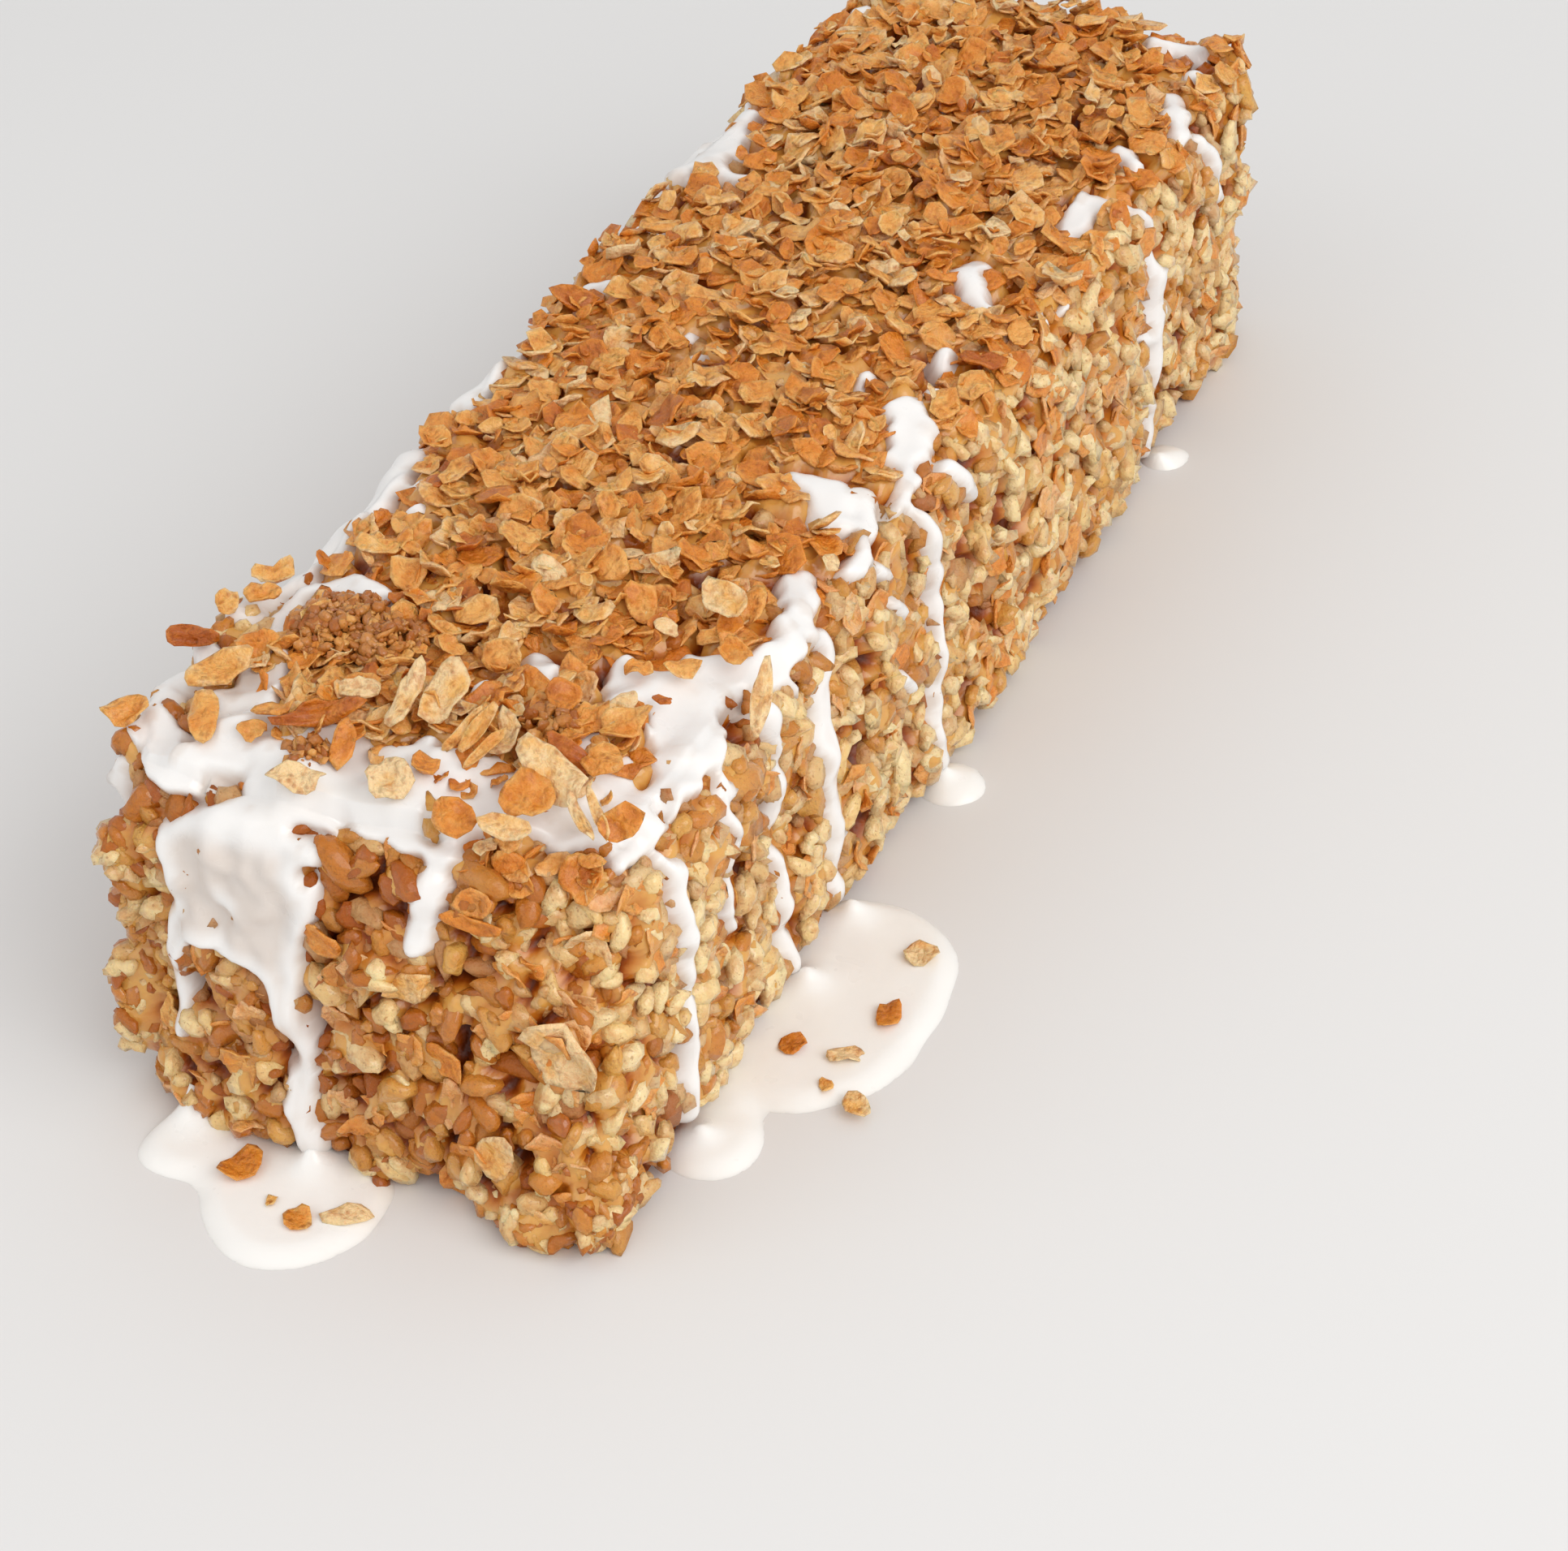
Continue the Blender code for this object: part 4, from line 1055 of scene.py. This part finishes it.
def grain_groups(bits, tone):
    """Grains of 8 sides and 6 rings near the front end, and of 6 and 4 behind."""
    return split_groups(bits, tone, grain_forms, (8, 6), PLAIN_GRAIN, plain_rim)


def flake_groups(bits, tone, near_kind=(12, NEAR_RINGS)):
    """Flakes of near_kind near the front end, and of 9 sides behind."""
    return split_groups(bits, tone, flake_forms, near_kind, (9, FAR_RINGS), flake_rim)


def heap_piece(name, finish_name, low, high):
    """The heap's flakes and the chosen ones whose tones are over low and up to high; the latter are finer."""
    keep, keep_featured = ((low < tones) & (tones <= high) for tones in (heap_tone, featured_tone))
    groups = flake_groups(chosen(heap, keep), heap_tone[keep])
    groups += flake_groups(
        chosen(featured, keep_featured), featured_tone[keep_featured], (16, FINE_RINGS)
    )
    return bits_piece(name, groups, flake_finish(finish_name, FLAKE_STOPS, 0.35))


# The share of grains that are toasted, and how much paler the long wall is, more so behind, partly as painted
# light
TOASTED_SHARE, PALER_WALL, PALER_BEHIND = 0.58, 0.28, 0.1

grains = joined(loaf_grains, heaps)
tone = rng.uniform(0, 1, len(grains["home"]))
# The +X wall faces the window: its grains are paler partly as painted light and partly in their own colour
paler = PALER_WALL + PALER_BEHIND * ease((grains["home"][:, 1] + 100) / 60)
tone = np.clip(tone + paler * (grains["home"][:, 0] == HALF[0]), 0, 1)
pale = tone > TOASTED_SHARE
pale_grains = bits_piece(
    "pale_grains",
    grain_groups(chosen(grains, pale), tone[pale]),
    grain_finish("pale puffed grain", PALE_STOPS, CARAMEL),
)
toasted_grains = bits_piece(
    "toasted_grains",
    grain_groups(chosen(grains, ~pale), tone[~pale] / TOASTED_SHARE),
    grain_finish("toasted puffed grain", TOASTED_STOPS, CARAMEL),
)
side_flakes = bits_piece(
    "side_flakes",
    flake_groups(wall_flakes, rng.uniform(0.42, 1, len(wall_flakes["home"]))),
    flake_finish("coated flake", FLAKE_STOPS, 0.5),
)
heap = joined(low_flakes, mid_flakes, high_flakes, chips)
heap_tone = np.clip(rng.normal(0.55, 0.22, len(heap["home"])), 0, 1)
golden_flakes = heap_piece("golden_flakes", "golden flake", 0.5, 1)
brown_flakes = heap_piece("brown_flakes", "brown flake", -1, 0.5)

count = len(clumps["home"])
crumbs = (
    grain_forms(count, *PLAIN_GRAIN, rng),
    lofted(PLAIN_GRAIN[1], PLAIN_GRAIN[0]),
    clumps,
    rng.uniform(0, 0.8, count),
    plain_rim(*PLAIN_GRAIN),
)
brown_clumps = bits_piece("brown_clumps", [crumbs], grain_finish("toasted crumb", CRUMB_STOPS, CRUMB_COAT))

# Icing on the loaf

ICING_FOOT, BURIED = -3.6, -9
# The icing's thickness, how much thinner it is on the lumpy front sheet, and how far in its lip reaches
THICK, LUMPY_THINNER, LIP_REACH = 2.4, 0.6, 1.7


def icing_on_loaf():
    """A closed skin over the cells near the chains.

    Its height is the smoothed relief plus the icing's thickness times a round lip, sqrt(1 - (1 - d)^2) of
    the depth d within the outline. Beyond the outline it falls away under the grains, and the underside
    lies deeper still. Where the sheet is wide and faces sideways it is lumpy: it follows the relief more.
    """
    fine = Shell(0.72, 1.25)
    flat = joined(flat_halves(wall_flakes, 0.42), flat_halves(low_flakes, 0.42))
    height = fine.relief((loaf_grains, heaps, flat), -2.0)
    upward = ease(fine.out[:, 2])
    edge = inside_chains(fine.point, fine.out, chains + under, 1.6)
    edge += (0.28 + 0.5 * upward) * (waves(fine.point, 7, 61) + 0.5 * waves(fine.point, 3.1, 62))
    edge = np.maximum(edge, -inside_chains(fine.point, fine.out, BARE, 0.5))
    depth = np.clip(-edge / LIP_REACH, 0, 1)
    lip = np.sqrt(1 - (1 - depth) ** 2)
    lumpy = ease((-edge - 1.5) / 3.5) * (1 - ease(fine.out[:, 2] * 2))
    body = fine.smooth(height, 16) * (1 - lumpy) + fine.smooth(height, 3) * lumpy
    cling = height + 0.6 * lip - 0.9 * (1 - lip)
    top = np.maximum(body + (THICK - LUMPY_THINNER * lumpy) * lip, np.where(depth > 0, cling, BURIED))
    top = np.where(edge > 0, body - 0.4 - 1.5 * edge, top)
    top = fine.smooth(top, 2)
    top = np.maximum(top, np.where(edge < 0, height + 0.85 * ease(-edge / 1.6) - 0.1, BURIED))
    cover = np.clip((top - height) / 1.5, 0, 1) * (1 - 0.85 * lumpy)
    cells = fine.quads[(edge[fine.quads] < 1.2).any(axis=1)]
    used, quads = np.unique(cells, return_inverse=True)
    quads = quads.reshape(-1, 4)
    upper = fine.point[used] + fine.out[used] * top[used][:, None]
    lower = fine.point[used] + fine.out[used] * np.minimum(ICING_FOOT, top[used] - 0.5)[:, None]
    edges = np.concatenate([quads[:, [n, (n + 1) % 4]] for n in range(4)])
    keys = edges[:, 0] * len(used) + edges[:, 1]
    alone = edges[~np.isin(keys, edges[:, 1] * len(used) + edges[:, 0])]
    a, b = alone.T
    number = len(used)
    walls = np.stack([b, a, a + number, b + number], axis=1)
    points = np.concatenate([upper, lower])
    points[:, 2] = np.maximum(points[:, 2], OFF_FLOOR)
    cover = np.tile(cover[used], 2)
    faces = np.concatenate([quads, quads[:, ::-1] + number, walls])
    return mesh_piece("icing", points, faces, {"cover": cover}, icing_white)


icing_white = icing_finish("white icing", (0.88, 0.86, 0.84), (0.71, 0.625, 0.56))
icing = icing_on_loaf()

# Pools on the surface that the loaf stands on

POOL_THICK, POOL_STEP, POOL_BLEND, POOL_LIP, POOL_RIM = 1.6, 0.9, 4.5, 4.5, -0.15
# Each pool's round lobes as (x, y, radius), and the rises under its drips as (x, y, height)
POOLS = {
    "icing_pool_front": (
        ((-8.5, -173.5, 16.5), (-32.5, -169, 9), (-22, -168, 9)),
        ((-9, -166, 5), (-35, -163, 9)),
    ),
    "icing_pool_side": (
        ((55.5, -101, 21), (56.5, -83, 20), (59, -92, 17.5), (53, -134, 9), (49, -124, 7)),
        ((51, -134, 3), (51, -90, 4), (51, -69.5, 4)),
    ),
    "icing_pool_far": (((52, -25, 7),), ((51, -25, 3),)),
    "icing_pool_end": (((51, 101, 5.5),), ((51, 97, 3),)),
}
# Flakes that lie in the pools: (x, y, radius, direction, tone)
POOL_FLAKES = (
    (-20, -172, 4.6, 0.3, 0.35), (-11, -177, 1.4, 0, 0.7), (-4.5, -179, 3.1, 1.1, 0.5),
    (3, -175, 4.2, 2, 0.95), (69, -93.5, 3.8, 0.2, 0.25), (56, -107, 2.9, 0.9, 0.25),
    (66, -106, 3.8, 2.2, 0.95), (66, -114.5, 2, 0.4, 0.7), (73, -117, 3.4, 1.2, 0.85),
    (68, -76, 3.4, 1.5, 0.9),
)


def pool(name, lobes, feet):
    """A thin puddle: height is its thickness times a round lip of the depth within its lobes.

    Points outside the outline are moved back onto it, so its rim is a smooth curve, and round each foot of
    a drip it rises by a bell curve.
    """
    lobes = np.array(lobes, float)
    low, high = (lobes[:, :2] - lobes[:, 2:]).min(0) - 2, (lobes[:, :2] + lobes[:, 2:]).max(0) + 2
    axes = [np.arange(low[n], high[n], POOL_STEP) for n in (0, 1)]
    grid = np.stack(np.meshgrid(*axes, indexing="ij"), axis=-1)
    index = np.arange(grid.shape[0] * grid.shape[1]).reshape(grid.shape[:2])
    flat = at_height(grid.reshape(-1, 2), 0)

    def outside(at):
        best = np.full(len(at), FAR_AWAY)
        for x, y, r in lobes:
            away = np.linalg.norm(at[:, :2] - (x, y), axis=1) - r
            mix = np.clip(0.5 + 0.5 * (best - away) / POOL_BLEND, 0, 1)
            best = best * (1 - mix) + away * mix - POOL_BLEND * mix * (1 - mix)
        return best + 0.5 * waves(at, 16, 71)

    edge = outside(flat)
    slope = np.column_stack([outside(flat + (0.1, 0, 0)) - edge, outside(flat + (0, 0.1, 0)) - edge]) / 0.1
    slope /= np.linalg.norm(slope, axis=1)[:, None] + 1e-9
    quads = quads_of(index)
    quads = quads[(edge[quads] < POOL_RIM).any(axis=1)]
    used, quads = np.unique(quads, return_inverse=True)
    quads = quads.reshape(-1, 4)
    edge, slope, flat = edge[used], slope[used], flat[used].copy()
    flat[:, :2] -= slope * np.maximum(edge, 0)[:, None]
    depth = np.clip(-edge / POOL_LIP, 0, 1)
    height = POOL_THICK * (1 - (1 - depth) ** 2)
    for x, y, rise in feet:
        away = np.linalg.norm(flat[:, :2] - (x, y), axis=1)
        height += rise * np.exp(-away / 2.6) * np.clip(3 * depth, 0, 1)
    rim = edge >= POOL_RIM
    height[rim] = 0
    upper = flat + np.column_stack([np.zeros((len(flat), 2)), 0.02 + height])
    under = np.where(rim, np.arange(len(flat)), len(flat) + np.cumsum(~rim) - 1)
    points = np.concatenate([upper, flat[~rim] + (0, 0, 0.01)])
    faces = np.concatenate([quads, under[quads[:, ::-1]]])
    values = {"cover": np.clip(points[:, 2] / POOL_THICK, 0, 1)}
    made = mesh_piece(name, points, faces, values, pool_cream)
    made.data.set_sharp_from_angle(angle=1.2)
    return made


pool_cream = icing_finish("pooled icing", (0.95, 0.94, 0.91), (0.94, 0.92, 0.88))
pools = [pool(f"pool_of_{name}", *layout) for name, layout in POOLS.items()]

spots = np.array(POOL_FLAKES)
count = len(spots)
upright = np.tile((0, 0, 1.0), (count, 1))
fallen = bits_of(
    at_height(spots[:, :2], 0),
    at_height(spots[:, :2], POOL_THICK + 0.5),
    turned(upright, spots[:, 3], np.full(count, 0.08), spots[:, 3] * 2),
    spots[:, 2:3] * (1, 1, 0.8),
    np.full(count, 4.0),
    FLAKE_REACH,
)
fallen_finish = flake_finish("fallen flake", FLAKE_STOPS, 0.2)
pool_flakes = bits_piece("pool_flakes", flake_groups(fallen, spots[:, 4]), fallen_finish)

cereal = (binder, pale_grains, toasted_grains, side_flakes, golden_flakes, brown_flakes, brown_clumps)
for piece in (*cereal, pool_flakes, icing, *pools):
    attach(piece, "root")
for piece in (*cereal, icing):
    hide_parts("treat")
for piece, node in zip(pools, POOLS):
    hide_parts(node)

# Camera, floor and light

TABLE = 3.0


def in_scene(name, data, place=(0, 0, 0), axes=((1, 0, 0), (0, 1, 0), (0, 0, 1))):
    """A new object in the scene, at place, its own three axes along those."""
    made = bpy.data.objects.new(name, data)
    made.matrix_world = Matrix.Translation(place) @ Matrix(np.stack(axes, axis=1).tolist()).to_4x4()
    bpy.context.scene.collection.objects.link(made)
    return made


def stage_floor():
    """A plain pale table top far larger than the view."""
    finish = Finish("pale table", Roughness=0.55)
    finish.feed(Base_Color=(0.775, 0.77, 0.765))
    mesh = bpy.data.meshes.new("floor")
    corners = [(-TABLE, -TABLE, 0), (TABLE, -TABLE, 0), (TABLE, TABLE, 0), (-TABLE, TABLE, 0)]
    mesh.from_pydata(corners, [], [(0, 1, 2, 3)])
    mesh.materials.append(finish.material)
    in_scene("floor", mesh)


def area_light(name, place, size, power, colour):
    """A soft rectangular light turned to the origin, in metres and watts."""
    light = bpy.data.lights.new(name, "AREA")
    light.shape = "RECTANGLE"
    light.size, light.size_y = size
    light.energy = power
    light.color = colour
    back = np.array(place, float)
    back /= np.linalg.norm(back)
    side = np.cross((0, 0, 1), back)
    side /= np.linalg.norm(side)
    in_scene(name, light, place, (side, np.cross(back, side), back))


def photo_camera():
    """The camera at the photograph's viewing angle, fitted to the loaf's straight edges."""
    camera = bpy.data.cameras.new("camera")
    camera.lens = 78.26087
    camera.sensor_width = 36
    right = (0.90524984, 0.42235952, -0.04620777)
    up = (-0.2289786, 0.57657885, 0.78429945)
    back = (0.35789876, -0.69940636, 0.61865921)
    place = (0.26329, -0.50928, 0.42005)
    bpy.context.scene.camera = in_scene("camera", camera, place, (right, up, back))


stage_floor()
photo_camera()
area_light("window", (1.25, -0.5, 1.1), (1.6, 1.2), 16, (1.0, 0.985, 0.965))
area_light("fill", (-1.0, -1.2, 1.1), (1.5, 1.2), 3.4, (1.0, 0.99, 0.98))
world = bpy.data.worlds.new("soft studio")
world.use_nodes = True
world.node_tree.nodes["Background"].inputs[0].default_value = (0.98, 0.98, 0.98, 1)
world.node_tree.nodes["Background"].inputs[1].default_value = 0.73
bpy.context.scene.world = world
bpy.context.scene.view_settings.view_transform = "Standard"
